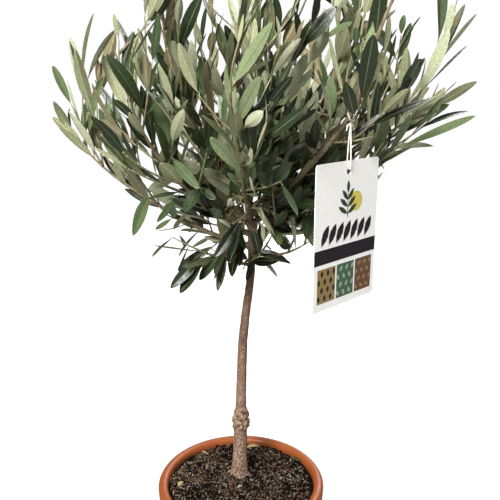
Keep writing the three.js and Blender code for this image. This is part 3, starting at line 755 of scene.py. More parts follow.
def bark_look():
    look = Look("bark", 0.86, Specular_IOR_Level=0.25)
    broad = look.noise(42, 4.0, stretch=(1, 1, 0.3))
    base = look.ramp(broad, (0.3, (84, 62, 48)), (0.5, (108, 82, 65)), (0.7, (130, 102, 84)))
    foot = look.ramp(broad, (0.3, (116, 90, 73)), (0.5, (150, 121, 102)), (0.7, (180, 151, 132)))
    blotches = look.noise(400, 4.0, 0.75)
    foot = look.mixed(look.scaled(blotches, 0.5, 0.56, 0, 0.95), foot, linear((90, 62, 45)))
    foot = look.mixed(look.scaled(blotches, 0.44, 0.36, 0, 0.8), foot, linear((208, 188, 172)))
    height = look.node("ShaderNodeSeparateXYZ", {0: look.place()}).outputs["Z"]
    limbs = look.ramp(broad, (0.3, (108, 97, 75)), (0.5, (139, 126, 98)), (0.7, (167, 152, 120)))
    base = look.mixed(look.scaled(height, 0.2, 0.3, 1, 0), base, foot)
    base = look.mixed(look.scaled(height, 0.4, 0.46, 0, 1), base, limbs)
    specks = look.noise(620, 3.0, 0.7)
    base = look.mixed(look.scaled(specks, 0.53, 0.64, 0, 0.62), base, linear((86, 66, 54)))
    pale = look.scaled(look.noise(560, 3.0, 0.7, (1, 1, 0.8)), 0.53, 0.64, 0, 0.5)
    base = look.mixed(pale, base, linear((178, 156, 142)))
    # The healed cut is paler, with dark cracks, and its pits are painted near black as their shade.
    axis = trunk_axis(KNOT_HEIGHT) * MM
    coordinates = look.node("ShaderNodeTexCoord").outputs["Object"]
    offset = look.node("ShaderNodeVectorMath", {0: coordinates, 1: Vector(axis)}, operation="SUBTRACT")
    shrunk = {0: offset.outputs[0], 1: (0.4, 0.4, 1)}
    shrunk = look.node("ShaderNodeVectorMath", shrunk, operation="MULTIPLY").outputs[0]
    away = look.node("ShaderNodeVectorMath", {0: shrunk}, operation="LENGTH").outputs["Value"]
    ragged = {0: look.noise(160, 2.0), 1: 0.009, 2: away}
    ragged = look.node("ShaderNodeMath", ragged, operation="MULTIPLY_ADD")
    knot = look.scaled(ragged.outputs[0], 0.0165, 0.0195, 1, 0)
    cracks = look.cells(330)
    wood_tones = (0.34, (56, 40, 30)), (0.47, (120, 96, 77)), (0.66, (172, 147, 122))
    cut = look.ramp(look.noise(240, 4.0, 0.7), *wood_tones)
    cut = look.mixed(look.scaled(cracks, 0.08, 0.24, 0.75, 0), cut, linear((52, 40, 28)))
    # Painted shade: the inside of each pit is painted near black.
    for pit, radius, _ in knot_pits():
        gap = look.node("ShaderNodeVectorMath", {0: coordinates, 1: Vector(pit * MM)}, operation="DISTANCE")
        inside = look.scaled(gap.outputs["Value"], 0.55 * radius * MM, 1.05 * radius * MM, 0.9, 0)
        cut = look.mixed(inside, cut, linear((30, 22, 17)))
    look.colour(look.mixed(knot, base, cut))
    look.bump(look.noise(330, 5.0, 0.65, stretch=(1, 1, 0.4)), 0.7, 0.8)
    return look.bump(specks, 0.4, 0.35).material


def pot_look():
    look = Look("pot_plastic", 0.42, Specular_IOR_Level=0.35)
    look.colour(look.ramp(look.noise(22, 3.0), (0.3, (138, 71, 33)), (0.7, (151, 80, 38))))
    look.rough(look.scaled(look.noise(90, 4.0), 0.3, 0.7, 0.36, 0.52))
    return look.bump(look.noise(1500, 2.0), 0.12, 0.2).material


def soil_look(name, *colours):
    look = Look(name, 0.95, Specular_IOR_Level=0.06)
    stops = [(0.3 + 0.4 * i / (len(colours) - 1), colour) for i, colour in enumerate(colours)]
    look.colour(look.ramp(look.noise(420, 5.0, 0.7), *stops))
    return look.bump(look.noise(900, 5.0, 0.75), 1.0, 1.4).material


soil_looks = [
    soil_look("compost", (4, 3, 2), (15, 10, 7), (46, 34, 24)),
    soil_look("compost_brown", (30, 20, 13), (78, 58, 42), (138, 111, 88)),
    soil_look("compost_black", (3, 2, 1), (8, 5, 4), (24, 18, 13)),
    soil_look("compost_fibre", (78, 58, 42), (126, 101, 80), (190, 166, 140)),
    soil_look("perlite", (124, 116, 104), (170, 162, 150), (212, 205, 194)),
    soil_look("wood_chip", (132, 118, 80), (166, 152, 108), (192, 180, 142)),
    soil_look("moss", (44, 48, 28), (66, 70, 40), (88, 92, 56)),
]


def card_look(name, colour, roughness=0.5):
    look = Look(name, roughness, Specular_IOR_Level=0.2)
    shade = tuple(0.95 * c for c in colour)
    look.colour(look.ramp(look.noise(700, 3.0), (0.3, shade), (0.6, colour)))
    return look.bump(look.noise(2400, 2.0), 0.08, 0.1).material


def string_look():
    look = Look("string_cotton", 0.8, Sheen_Weight=0.3)
    look.colour(look.ramp(look.noise(1800, 2.0), (0.3, (222, 218, 206)), (0.7, (246, 244, 238))))
    return look.bump(look.noise(2600, 2.0, stretch=(1, 1, 0.3)), 0.5, 0.2).material


# The pot

wall_slope = (INNER_TOP + WALL - FOOT_RADIUS) / (POT_HEIGHT - RIM_DEPTH)


def inside_radius(height):
    return min(INNER_TOP, FOOT_RADIUS - WALL + wall_slope * height)


def turned(pile, profile, sides, look):
    """Turns a profile of (radius, height) pairs, which starts and ends on the axis."""
    angles = 2 * np.pi * np.arange(sides) / sides
    rings = profile[1:-1]
    points = [(r * math.cos(a), r * math.sin(a), z) for r, z in rings for a in angles]
    points += [(0, 0, profile[0][1]), (0, 0, profile[-1][1])]
    first, last = len(points) - 2, len(points) - 1
    top = (len(rings) - 1) * sides
    faces = bands(len(rings), sides)
    for k in range(sides):
        n = (k + 1) % sides
        faces += [(first, n, k), (last, top + k, top + n)]
    pile.add(points, faces, look)


def make_pot():
    under = POT_HEIGHT - RIM_DEPTH
    half = RIM_WIDTH / 2
    arc = [
        (RIM_RADIUS - half + half * math.cos(a), POT_HEIGHT - RIM_ROUNDING + RIM_ROUNDING * math.sin(a))
        for a in np.linspace(0, np.pi, 17)
    ]
    side = [
        (FOOT_RADIUS + (INNER_TOP + WALL - FOOT_RADIUS) * (z - 2) / (under - 2), z)
        for z in np.linspace(2, under - 1.2, 12)
    ]
    outside = [
        (0, 0), (FOOT_RADIUS - 3, 0), (FOOT_RADIUS - 1.2, 0.3), (FOOT_RADIUS - 0.3, 1.1), *side,
        (INNER_TOP + WALL + 0.5, under - 0.3), (INNER_TOP + WALL + 1.4, under),
        (RIM_RADIUS - 2.2, under), (RIM_RADIUS - 1.3, under + 0.3), (RIM_RADIUS - 1, under + 1),
        (RIM_RADIUS - 0.7, under + 8),
    ]
    inside = [(inside_radius(under) + 0.01, under), (inside_radius(POT_FLOOR), POT_FLOOR), (0, POT_FLOOR)]
    pile = Pile()
    turned(pile, outside + arc + inside, 160, 0)
    pot = pile.piece("pot_moulded", [pot_look()])
    cutters = Pile()
    for i in range(DRAIN_HOLES):
        middle = outward(360 * (i + 0.5) / DRAIN_HOLES) * DRAIN_CIRCLE
        ends = np.array([middle - UP * 3, middle + UP * (POT_FLOOR + 3)])
        cutters.add(*tube(ends, [DRAIN_RADIUS, DRAIN_RADIUS], 24), 0)
    cutter = cutters.piece("drain_cutter", [])
    modifier = pot.modifiers.new("drain", "BOOLEAN")
    modifier.object = cutter
    modifier.operation = "DIFFERENCE"
    modifier.solver = "EXACT"
    apply_modifiers(pot)
    bpy.data.objects.remove(cutter)
    sharpened(pot, 40)
    return pot


def apply_modifiers(obj):
    bpy.context.view_layer.update()
    shaped = obj.evaluated_get(bpy.context.evaluated_depsgraph_get())
    mesh = bpy.data.meshes.new_from_object(shaped)
    obj.modifiers.clear()
    old = obj.data
    obj.data = mesh
    bpy.data.meshes.remove(old)
    mesh.name = obj.name


def sharpened(obj, degrees):
    """Shades the mesh smooth, with its edges over an angle left sharp."""
    obj.data.polygons.foreach_set("use_smooth", [True] * len(obj.data.polygons))
    obj.data.set_sharp_from_angle(angle=math.radians(degrees))


pot = make_pot()
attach(pot, "root")
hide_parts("pot")

# The compost

rng = np.random.default_rng(SEED)


def soil_height(x, y):
    """The relief of the compost, a little lower at the pot's wall."""
    away = math.hypot(x, y) / (INNER_TOP - SEAT_GAP)
    broad = noise.noise(Vector((x * 0.035, y * 0.035, 3.1)))
    fine = noise.noise(Vector((x * 0.16, y * 0.16, 7.7)))
    grain = noise.noise(Vector((x * 0.5, y * 0.5, 1.3)))
    edge = POT_HEIGHT - SOIL_DROP
    return edge + SOIL_DOME * (1 - away**2) - 1.6 * away**8 + 1.8 * broad + 1.7 * fine + 1.1 * grain - 1.6


def make_soil():
    pile = Pile()
    rings, sides = 64, 220
    outer = INNER_TOP - SEAT_GAP
    under = POT_HEIGHT - RIM_DEPTH
    turns = 2 * math.pi * np.arange(sides) / sides
    points = []
    for i in range(1, rings + 1):
        radius = outer * (i / rings) ** 0.8
        for x, y in zip(radius * np.cos(turns), radius * np.sin(turns)):
            points.append((x, y, soil_height(x, y)))
    lower = [(outer, under), (inside_radius(under) - SEAT_GAP, under - 1)]
    lower.append((inside_radius(POT_FLOOR) - SEAT_GAP, POT_FLOOR + SEAT_GAP))
    points += [(r * math.cos(a), r * math.sin(a), z) for r, z in lower for a in turns]
    rows = rings + len(lower)
    points += [(0, 0, soil_height(0, 0)), (0, 0, POT_FLOOR + SEAT_GAP)]
    top, bottom, last = rows * sides, rows * sides + 1, (rows - 1) * sides
    faces = [(a, d, c, b) for a, b, c, d in bands(rows, sides)]
    for k in range(sides):
        n = (k + 1) % sides
        faces += [(top, k, n), (bottom, last + n, last + k)]
    pile.add(points, faces, 0)
    return pile.piece("compost_bed", soil_looks)


def ball():
    """The corners and faces of a small round grain."""
    golden = (1 + math.sqrt(5)) / 2
    corners = []
    for a in (-1, 1):
        for b in (-golden, golden):
            corners += [(0, a, b), (a, b, 0), (b, 0, a)]
    corners = np.array(corners) / math.hypot(1, golden)
    faces = []
    for i in range(12):
        for j in range(12):
            for k in range(12):
                near = [np.linalg.norm(corners[p] - corners[q]) < 1.1 for p, q in ((i, j), (j, k), (k, i))]
                if i < j and i < k and j != k and all(near):
                    if np.cross(corners[j] - corners[i], corners[k] - corners[i]) @ corners[i] > 0:
                        faces.append((i, j, k))
    return corners, faces


BALL = ball()


def turned_randomly(points):
    q = rng.normal(size=4)
    a, b, c, d = q / np.linalg.norm(q)
    turn = np.array([
        [a * a + b * b - c * c - d * d, 2 * (b * c - a * d), 2 * (b * d + a * c)],
        [2 * (b * c + a * d), a * a - b * b + c * c - d * d, 2 * (c * d - a * b)],
        [2 * (b * d - a * c), 2 * (c * d + a * b), a * a - b * b - c * c + d * d],
    ])
    return points @ turn.T


def grain(pile, x, y, size, stretch, look, sunk=0.3):
    corners = BALL[0] * (1 + 0.35 * rng.uniform(-1, 1, (12, 1))) * np.array(stretch) * size
    place = np.array([x, y, soil_height(x, y) + size * min(stretch) * (1 - sunk)])
    pile.add(turned_randomly(corners) + place, BALL[1], look)


def on_soil(margin):
    radius = (INNER_TOP - margin) * math.sqrt(rng.uniform())
    angle = rng.uniform(0, 2 * math.pi)
    return radius * math.cos(angle), radius * math.sin(angle)


CRUMBS = 5400
CRUMB_MOST = 2.3
PERLITE_TRIES = 1000
PERLITE_MOST = 1.3
CHIPS = 14
MOSS_TUFTS = 24
FIBRES = 1700
FIBRE_MOST = 9
# The numbers of the looks in soil_looks
BED, BROWN, BLACK, FIBRE, PERLITE, CHIP, MOSS = range(7)
# What lies on the compost: place, turn, length, width, thickness, arch and look
LITTER = [
    (14, 75, 12, 17, 6, 0.6, 2.2, CHIP),
    (-46, 62, -38, 9, 3.2, 1.6, 0, CHIP),
    (-70, -2, 62, 9, 5.5, 0.6, 1.5, CHIP),
    (-41, 26, 20, 4, 3.4, 3, 0, FIBRE),
    (-1, -11, 30, 6, 3, 0.8, 2, PERLITE),
    (-72, 21, 74, 17, 1.6, 1.2, 1, FIBRE),
    (66, 45, -30, 18, 6, 0.6, 2.5, MOSS),
    (52, -46, 130, 8, 4, 0.6, 1.5, CHIP),
    (22, -62, 15, 14, 1.8, 1.4, 1, FIBRE),
]


def litter(pile, x, y, turn, length, width, thickness, arch, look):
    """A small arched chip or dry leaf."""
    shares, reach = (-1, -0.75, -0.3, 0.2, 0.65, 1), (0.25, 0.7, 1, 0.95, 0.6, 0.15)
    along, across = outward(turn), outward(turn + 90)
    middle = np.array([x, y, soil_height(x, y) + 0.5 * thickness + 0.6])
    points = []
    for share, wide in zip(shares, reach):
        for side, up in ((-1, -1), (1, -1), (1, 1), (-1, 1)):
            bow = arch * (1 - share**2) + 0.12 * arch * side * share
            points.append(
                middle + along * share * length / 2 + across * side * wide * width / 2
                + UP * (bow + up * thickness / 2)
            )
    pile.add(points, closed_bands(len(shares), 4), look)


def make_crumbs():
    pile = Pile()
    for _ in range(CRUMBS):
        x, y = on_soil(1.5)
        patch = 1.5 * noise.noise(Vector((x * 0.036, y * 0.036, 9.4))) + 0.24 * rng.normal()
        look = BROWN if patch > 0.15 else BLACK if patch < -0.25 else BED
        size = min(CRUMB_MOST, 0.56 * math.exp(0.55 * rng.normal()))
        grain(pile, x, y, size, (1, rng.uniform(0.6, 1), rng.uniform(0.5, 0.9)), look)
    for _ in range(PERLITE_TRIES):
        x, y = on_soil(3)
        if 1.3 * noise.noise(Vector((x * 0.04, y * 0.04, 2.6))) + 0.22 * rng.normal() < 0.04:
            continue
        size = min(PERLITE_MOST, 0.5 * math.exp(0.5 * rng.normal()))
        grain(pile, x, y, size, (1, rng.uniform(0.5, 1), rng.uniform(0.4, 0.8)), PERLITE)
    for _ in range(CHIPS):
        x, y = on_soil(5)
        grain(pile, x, y, rng.uniform(0.8, 1.8), (1.5, 0.7, 0.4), CHIP)
    for _ in range(MOSS_TUFTS):
        x, y = on_soil(5)
        grain(pile, x, y, rng.uniform(0.8, 1.6), (1, 1, 0.6), MOSS)
    for _ in range(FIBRES):
        x, y = on_soil(5)
        angle = rng.uniform(0, 2 * math.pi)
        length = min(FIBRE_MOST, 2.6 * math.exp(0.5 * rng.normal()))
        line = []
        for share in np.linspace(-0.5, 0.5, 5):
            a = angle + 1.2 * share * rng.uniform(0.4, 1)
            px, py = x + length * share * math.cos(a), y + length * share * math.sin(a)
            reach = math.hypot(px, py)
            fit = min(1, (INNER_TOP - 1.5) / reach)
            lift = 0.5 + rng.uniform(0, 1.6) * (1 - 4 * share * share)
            line.append(np.array([px * fit, py * fit, soil_height(px * fit, py * fit) + lift]))
        thick = rng.uniform(0.14, 0.3)
        look = FIBRE if rng.uniform() < 0.75 else PERLITE
        pile.add(*tube(np.array(line), [0.4 * thick, thick, thick, thick, 0.4 * thick], 4), look)
    for item in LITTER:
        litter(pile, *item)
    return pile.piece("compost_crumbs", soil_looks, smooth=False)


soil = make_soil()
crumbs = make_crumbs()
for piece in (soil, crumbs):
    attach(piece, "root")
    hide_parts("soil")

# The trunk and boughs

TRUNK_SUNK = 5  # below the compost's surface
VOXEL = 0.75
STOCK_SWELL = 1.3  # the stock under the healed cut is thicker
TRUNK_ROWS = 150
TRUNK_SIDES = 20
BOUGH_ROWS = 25
BOUGH_COLLAR = 1.1  # how much thicker a bough is at the trunk
FURROWS = 0.42  # depth of the bark's long furrows
BLISTERS = 0.16  # height of its small bumps


def make_wood():
    """The trunk and boughs as one skin, with the bark's relief."""
    pile = Pile()
    heights = np.linspace(TRUNK_FOOT - TRUNK_SUNK, TRUNK_TOP, TRUNK_ROWS)
    points = []
    for height in heights:
        centre = trunk_axis(max(height, TRUNK_FOOT))
        for k in range(TRUNK_SIDES):
            angle = 2 * math.pi * k / TRUNK_SIDES
            radius = trunk_radius(height) + knot_bulge(height, angle)
            root = math.exp(-max(0, height - TRUNK_FOOT) / 9)
            radius += 0.9 * root * math.cos(4 * angle + 0.7)
            radius += STOCK_SWELL * clamped((KNOT_HEIGHT - height) / 12)
            out = radius * math.cos(angle), radius * math.sin(angle)
            points.append((centre[0] + out[0], centre[1] + out[1], height))
    pile.add(points, closed_bands(TRUNK_ROWS, TRUNK_SIDES), 0)
    for name in BOUGHS:
        shares = np.linspace(0, 1, BOUGH_ROWS)
        line = np.array([bough_point(name, s) for s in shares])
        radii = [bough_radius(s) + BOUGH_COLLAR * math.exp(-s * 9) for s in shares]
        pile.add(*tube(line, radii, 12), 0)
    wood = pile.piece("wood", [bark_look()])
    modifier = wood.modifiers.new("skin", "REMESH")
    modifier.mode = "VOXEL"
    modifier.voxel_size = VOXEL * MM
    smoothing = wood.modifiers.new("smooth", "SMOOTH")
    smoothing.factor = 0.5
    smoothing.iterations = 4
    apply_modifiers(wood)
    mesh = wood.data
    count = len(mesh.vertices)
    places = np.zeros(count * 3)
    normals = np.zeros(count * 3)
    mesh.vertices.foreach_get("co", places)
    mesh.vertices.foreach_get("normal", normals)
    places, normals = places.reshape(-1, 3), normals.reshape(-1, 3)
    axis = trunk_axis(KNOT_HEIGHT)
    pits_of_knot = list(knot_pits())
    for i in range(count):
        x, y, z = places[i] / MM
        furrow = noise.noise(Vector((x * 0.45, y * 0.45, z * 0.09)))
        blister = noise.noise(Vector((x * 0.9, y * 0.9, z * 0.6 + 40)))
        rise = FURROWS * furrow + BLISTERS * blister
        away = (z - KNOT_HEIGHT) / KNOT_SPAN
        if abs(away) < 1.25:
            lump = noise.noise(Vector((x * 0.24, y * 0.24, z * 0.24 + 9)))
            pits = noise.noise(Vector((x * 0.55, y * 0.55, z * 0.55 + 21)))
            angle = math.atan2(y - axis[1], x - axis[0]) - math.radians(KNOT_TURN)
            share = math.exp(-KNOT_EDGE * away**4) * (0.55 + 0.45 * math.cos(angle))
            rise += share * (3.4 * lump - 3.2 * max(0, pits - 0.08) + 0.6)
            for pit, radius, depth in pits_of_knot:
                gap = (x - pit[0]) ** 2 + (y - pit[1]) ** 2 + (z - pit[2]) ** 2
                rise -= depth * math.exp(-gap / radius**2)
        places[i] += normals[i] * rise * MM
    mesh.vertices.foreach_set("co", places.ravel())
    mesh.update()
    mesh.polygons.foreach_set("use_smooth", [True] * len(mesh.polygons))
    return wood


wood = make_wood()
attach(wood, "root")
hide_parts("trunk", *["bough_" + name for name in BOUGHS])

# The leaves

# Along a leaf: share of its length, and of its half width there on a round-tipped and a pointed one
STATIONS = np.array([0, 0.05, 0.1, 0.19, 0.32, 0.47, 0.62, 0.76, 0.88, 0.955, 1.0])
HALF_WIDTHS = np.array([0.07, 0.07, 0.14, 0.4, 0.74, 0.95, 1.0, 0.93, 0.7, 0.42, 0.07])
POINTED_WIDTHS = np.array([0.07, 0.08, 0.22, 0.58, 0.88, 1.0, 0.93, 0.72, 0.42, 0.2, 0.03])
RIB_HEIGHTS = np.array([0.9, 1.0, 1.0, 1.0, 1.0, 0.9, 0.8, 0.65, 0.4, 0.15, 0.0])
RIB = 0.06
# Round a leaf's section: share of its half width, height, and share of the rib's height
SECTION = [
    (-1, -0.22, 0), (-0.5, 0.12, 0), (-RIB, 0, -0.22), (RIB, 0, -0.22), (0.5, 0.12, 0),
    (1, -0.22, 0), (0.5, -0.3, 0), (RIB, -0.36, -0.5), (-RIB, -0.36, -0.5), (-0.5, -0.3, 0),
]
RIM_CORNERS = (0, 5)
RIB_SIDES = (2, 7)
STALK_STATIONS = 2


def leaf_mesh(name, leaves):
    """All leaves of a mass as one mesh. Each is (leaf, shade of the upper side, of the under side)."""
    roots, directions, facings = (np.array([leaf[0][k] for leaf in leaves]) for k in range(3))
    lengths = np.array([leaf[0][3] for leaf in leaves])[:, None, None]
    widths = np.array([leaf[0][4] for leaf in leaves])[:, None, None]
    forms = np.array([leaf[3] for leaf in leaves])
    bend, sweep, twist, fold, pointed = (forms[:, k, None, None] for k in range(5))
    across = np.cross(directions, facings)
    t = STATIONS[None, :, None]
    outline = HALF_WIDTHS[None, :, None] * (1 - pointed) + POINTED_WIDTHS[None, :, None] * pointed
    half = outline * widths / 2
    v, rise, rib = (np.array([corner[k] for corner in SECTION])[None, None, :] for k in range(3))
    x = v * half
    bulge = rise * np.minimum(1, 0.3 + HALF_WIDTHS)[None, :, None]
    z = bulge + rib * RIB_HEIGHTS[None, :, None] + fold * np.abs(x)
    angle = twist * t
    sideways = x * np.cos(angle) - z * np.sin(angle) + sweep * lengths * t**2
    upwards = x * np.sin(angle) + z * np.cos(angle) + bend * lengths * t**2
    onwards = lengths * (t - 0.67 * (bend**2 + sweep**2) * t**3) - z * 2 * bend * t
    points = (
        roots[:, None, None] + directions[:, None, None] * onwards[..., None]
        + across[:, None, None] * sideways[..., None] + facings[:, None, None] * upwards[..., None]
    )
    rows, sides = len(STATIONS), len(SECTION)
    faces = closed_bands(rows, sides)
    faces = [
        tuple(n * rows * sides + corner for corner in face)
        for n in range(len(leaves)) for face in faces
    ]
    looks = []
    for _, upper, under, _ in leaves:
        for i in range(rows - 1):
            for k in range(sides):
                is_upper = k < sides // 2
                if i < STALK_STATIONS:
                    looks.append(STALK)
                elif k in RIB_SIDES and i < rows - 2:
                    looks.append(RIB_UPPER if is_upper else RIB_UNDER)
                else:
                    looks.append(upper if is_upper else SHADES + under)
        looks += [STALK, SHADES + under]
    pile = Pile()
    pile.add(points.reshape(-1, 3), faces, looks)
    piece = pile.piece(name, leaf_looks)
    mesh = piece.data
    ends = np.zeros(len(mesh.edges) * 2, int)
    mesh.edges.foreach_get("vertices", ends)
    places = ends.reshape(-1, 2) % sides
    sharp = (places[:, 0] == places[:, 1]) & np.isin(places[:, 0], RIM_CORNERS)
    mesh.edges.foreach_set("use_edge_sharp", sharp)
    return piece


def leaf_form(index, key, i, side):
    """How a leaf bends, sweeps sideways, twists and folds, and how pointed it is."""
    return (
        -0.04 + 0.17 * sway(index, key, i, 20 + side),
        0.09 * sway(index, key, i, 21 + side),
        0.55 * sway(index, key, i, 22 + side),
        0.06 + 0.3 * chance(index, key, i, 23 + side) ** 2,
        0.68 * chance(index, key, i, 24 + side),
    )


def eased(points, rounds):
    """The same line with gentler turns. Its two ends stay."""
    points = np.array(points)
    for _ in range(rounds):
        points[1:-1] = points[1:-1] / 2 + (points[:-2] + points[2:]) / 4
    return points


UPPER_LEAST, UPPER_PAINTED_SHADE, UPPER_VARIETY = 0.08, 0.16, 0.82  # the shades' shares: least, painted shade lower on the crown, and chance
UNDER_LEAST, UNDER_PAINTED_SHADE, UNDER_VARIETY = -0.05, 0.02, 0.8


def spray_shades(index, key, height, low_spray=False):
    """The shades of a spray's leaves: by chance, and darker low on the crown, which is painted shade."""
    depth = painted_shade_at(height)
    # Painted shade: the lowest leaves, and all leaves of the low sprays, are dealt darker shades.
    lowest = 1 if low_spray else clamped((LOWEST_FROM - height) / LOWEST_OVER)
    upper = UPPER_LEAST + UPPER_PAINTED_SHADE * depth + UPPER_VARIETY * chance(index, key, 30)
    upper += LOW_PAINTED_SHADE * lowest
    under = UNDER_LEAST + UNDER_PAINTED_SHADE * depth + UNDER_VARIETY * chance(index, key, 32)
    return min(SHADES - 1, int(SHADES * upper)), min(SHADES - 1, int(SHADES * max(0, under)))


LINE_STEPS = 6  # points of a shoot's smooth line for each stretch between two nodes
LOW_BARE = 0.46  # share of the places for leaves that stay bare on the low sprays
OUTER_BARE = 0.18  # more at the crown's outline
HIGH_BARE = 0.28  # more high on the crown
STRAY_BARE = 2  # more on shoots that stray, for each unit of their stray
LOW_PAINTED_SHADE = 0.4  # painted shade: how much darker the lowest leaves are, where the crown would shade them
LOWEST_FROM, LOWEST_OVER = 430, 30
OUTER_FROM, OUTER_OVER = 0.5, 0.35  # the outer leaves, by their share of the way to the outline
HIGH_FROM, HIGH_OVER = 570, 90
OUTER_LENGTH = 0.14  # how much longer leaves are at the crown's outline
LONG_LEAVES = 2  # how much longer the leaves are where shoots stray past the crown's outline
STEM_THICK = 1.1  # a twig's radius for its shoot's
SHOOT_THICK = 0.86
TIP_THICK = 0.7
OLD_SHARE = 0.7  # share of a stem or spur whose bark is old
SWELLING = 0.16
SWELLING_STEP = 4
STALK_CHANCE = 0.6
STALK_ANGLE = 55


def add_twig(pile, line, radius, tip_radius, old_share):
    """A shoot's smooth rod, with small swellings along it."""
    count, sides = len(line), 6
    shares = np.linspace(0, 1, count)
    swell = 1 + SWELLING * (np.arange(count) % SWELLING_STEP == 0)
    corners, faces = tube(line, (radius + (tip_radius - radius) * shares) * swell, sides)
    looks = [int((i // sides) / (count - 1) < old_share) for i in range(len(faces) - 2)] + [0, 0]
    pile.add(corners, faces, looks)


def add_stalks(pile, index, key, line):
    """Thin dry stalks inside the crown, where leaves and flowers have dropped."""
    for i in range(2, len(line) - 1, 2):
        if line[i][2] > 600 or crown_share(line[i]) > 0.72 or chance(index, key, i, 70) > STALK_CHANCE:
            continue
        along = unit(line[i + 1] - line[i - 1])
        heading = tilted(along, STALK_ANGLE + 25 * sway(index, key, i, 71), 360 * chance(index, key, i, 72))
        reach = 4 + 10 * chance(index, key, i, 73)
        tip = line[i] + heading * reach + UP * 0.25 * reach
        points = np.array([line[i], line[i] + heading * reach * 0.5, tip])
        pile.add(*tube(points, [0.55, 0.4, 0.35], 4), 2)


def add_leaves(leaves, index, key, line, shades, size, first, stray=0, mass=None, low_spray=False):
    """Adds pairs of leaves along a shoot, from its tip down, each pair square to the one before.
    Gives the place of the outermost leaf."""
    gaps = np.linalg.norm(np.diff(line, axis=0), axis=1)
    reach = np.concatenate([[0], np.cumsum(gaps)])
    pair, at, outermost = 0, reach[-1], 0
    bare = LOW_BARE if low_spray else 0
    straying = stray if mass else 0
    while at > first * LEAF_STEP:
        place = int(np.argmin(abs(reach - at)))
        taper = 1.0 if straying else 0.72 if pair == 0 else 0.88 if pair == 1 else 1.0
        out = clamped((crown_share(line[place]) - OUTER_FROM) / OUTER_OVER)
        high = clamped((line[place][2] - HIGH_FROM) / HIGH_OVER)
        for side in (0, 180):
            kept = 1 - bare - (OUTER_BARE + STRAY_BARE * straying) * out - HIGH_BARE * high
            if chance(index, key, pair, 40 + side) > kept:
                continue
            form = leaf_form(index, key, pair, side)
            for share, narrowing in ((1, 1), (0.78, 0.45)):
                leaf = leaf_at(
                    index, key, line, place, pair, side, size * taper * share, narrowing, low_spray,
                    1 + (OUTER_LENGTH + LONG_LEAVES * straying) * out,
                )
                if leaf_fits(leaf, form, stray, mass):
                    leaves.append((leaf, *shades, form))
                    outermost = max(outermost, place)
                    break
        step = LEAF_STEP + LEAF_STEP_OUT * out + LEAF_STEP_UP * high
        at -= step * (0.85 + 0.3 * chance(index, key, pair, 44))
        pair += 1
    return outermost


def dress(name, nodes, leaves, twigs):
    for piece, slot in (
        (leaf_mesh("leaves_" + name, leaves), "foliage"),
        (twigs.piece("twigs_" + name, twig_looks), "bark"),
    ):
        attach(piece, "root")
        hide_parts(*nodes)


for mass in masses:
    leaves, twigs = [], Pile()
    shoots = shoots_of(mass)
    top_fork = LINE_STEPS * max(key // 2 for key, _, _ in shoots)
    for key, points, radius in shoots:
        stem = key == 0
        if stem:
            points = stem_points = eased(points, 2)
            start = points[0] - unit(points[1] - points[0]) * 2.5
        else:
            start = stem_points[key // 2]
            points = eased([start, *points[1:]], 3)
        line = smooth_line([start, *points[1:]], LINE_STEPS)
        shades = spray_shades(mass.index, key, points[-1][2], mass.low)
        size = 1.05 if mass.low else 1.0
        space = None if mass.low else mass
        first = 0.5 if mass.low or not stem else 1.2
        end = add_leaves(leaves, mass.index, key, line, shades, size, first, mass.stray, space, mass.low)
        end = max(end, top_fork) if stem else end
        if end > 1:
            line = line[: end + 1]
            thick, old_share = (STEM_THICK, OLD_SHARE) if stem else (SHOOT_THICK, 0.4)
            add_twig(twigs, line, radius * thick, SHOOT_TIP_RADIUS * TIP_THICK, old_share)
            add_stalks(twigs, mass.index, key, line)
    dress(mass.name, ["foliage_" + mass.name], leaves, twigs)

# Spurs fill the low inside of the crown: short shoots on the boughs and on the trunk's top.
SPUR_STEP = 15
SPUR_RADIUS = 0.95
SPUR_TIP_RADIUS = 0.5
SPUR_LIMIT = 0.93  # where a spur ends: 1 is the crown's outline
SPUR_CHANCE = 0.62
SPUR_ANGLE = 52
SPUR_KEY = 91


def grow_spur(key, start, heading, nodes):
    points, along = [start], unit(heading)
    for i in range(1, nodes + 1):
        following = points[-1] + along * SPUR_STEP
        if crown_share(following) > SPUR_LIMIT or (i > 1 and touches(following, 1.2)):
            break
        points.append(following)
        strays = np.array([0.3 * sway(90, key, i, k) for k in (2, 3, 4)])
        along = unit(along + UP * 0.22 + strays)
    return points


leaves, twigs = [], Pile()
seats = [
    (bough_point(name, share), bough_tangent(name, share), bough_radius(share))
    for name in BOUGHS for share in (0.22, 0.36, 0.5, 0.64, 0.78, 0.92)
]
seats += [(trunk_axis(z), UP, trunk_radius(z)) for z in (430, 446, 462, 478, 494)]
for number, (seat, along, radius) in enumerate(seats):
    for side in range(2):
        key = 2 * number + side
        if chance(SPUR_KEY, key, 1) > SPUR_CHANCE:
            continue
        turn = 90 * number + 180 * side + 60 * sway(SPUR_KEY, key, 2)
        heading = tilted(along, SPUR_ANGLE + 14 * sway(SPUR_KEY, key, 3), turn)
        heading += UP * (0.1 + 0.3 * sway(SPUR_KEY, key, 5))
        points = grow_spur(key, seat, heading, 2 + int(3.2 * chance(SPUR_KEY, key, 4)))
        if len(points) < 3:
            continue
        line = smooth_line(points, 5)
        # Spurs count as 40 mm lower, so their leaves get more painted shade inside the crown.
        shades = spray_shades(SPUR_KEY, key, points[-1][2] - 40)
        held = []
        end = add_leaves(held, SPUR_KEY, key, line, shades, 1.0, 0.5)
        if len(held) > 1:
            leaves += held
            add_twig(twigs, line[: end + 1], SPUR_RADIUS, SPUR_TIP_RADIUS, OLD_SHARE)
            add_stalks(twigs, SPUR_KEY, key, line[: end + 1])
dress("spurs", ["bough_" + name for name in BOUGHS], leaves, twigs)

# The card


def card_place(side, height, front):
    """A point on the card, from its hole's middle."""
    drop = CARD_HOLE_RADIUS - STRING_RADIUS - 2 * SEAT_GAP
    return card_hole - UP * drop + card_wide * side + UP * height + card_facing * front


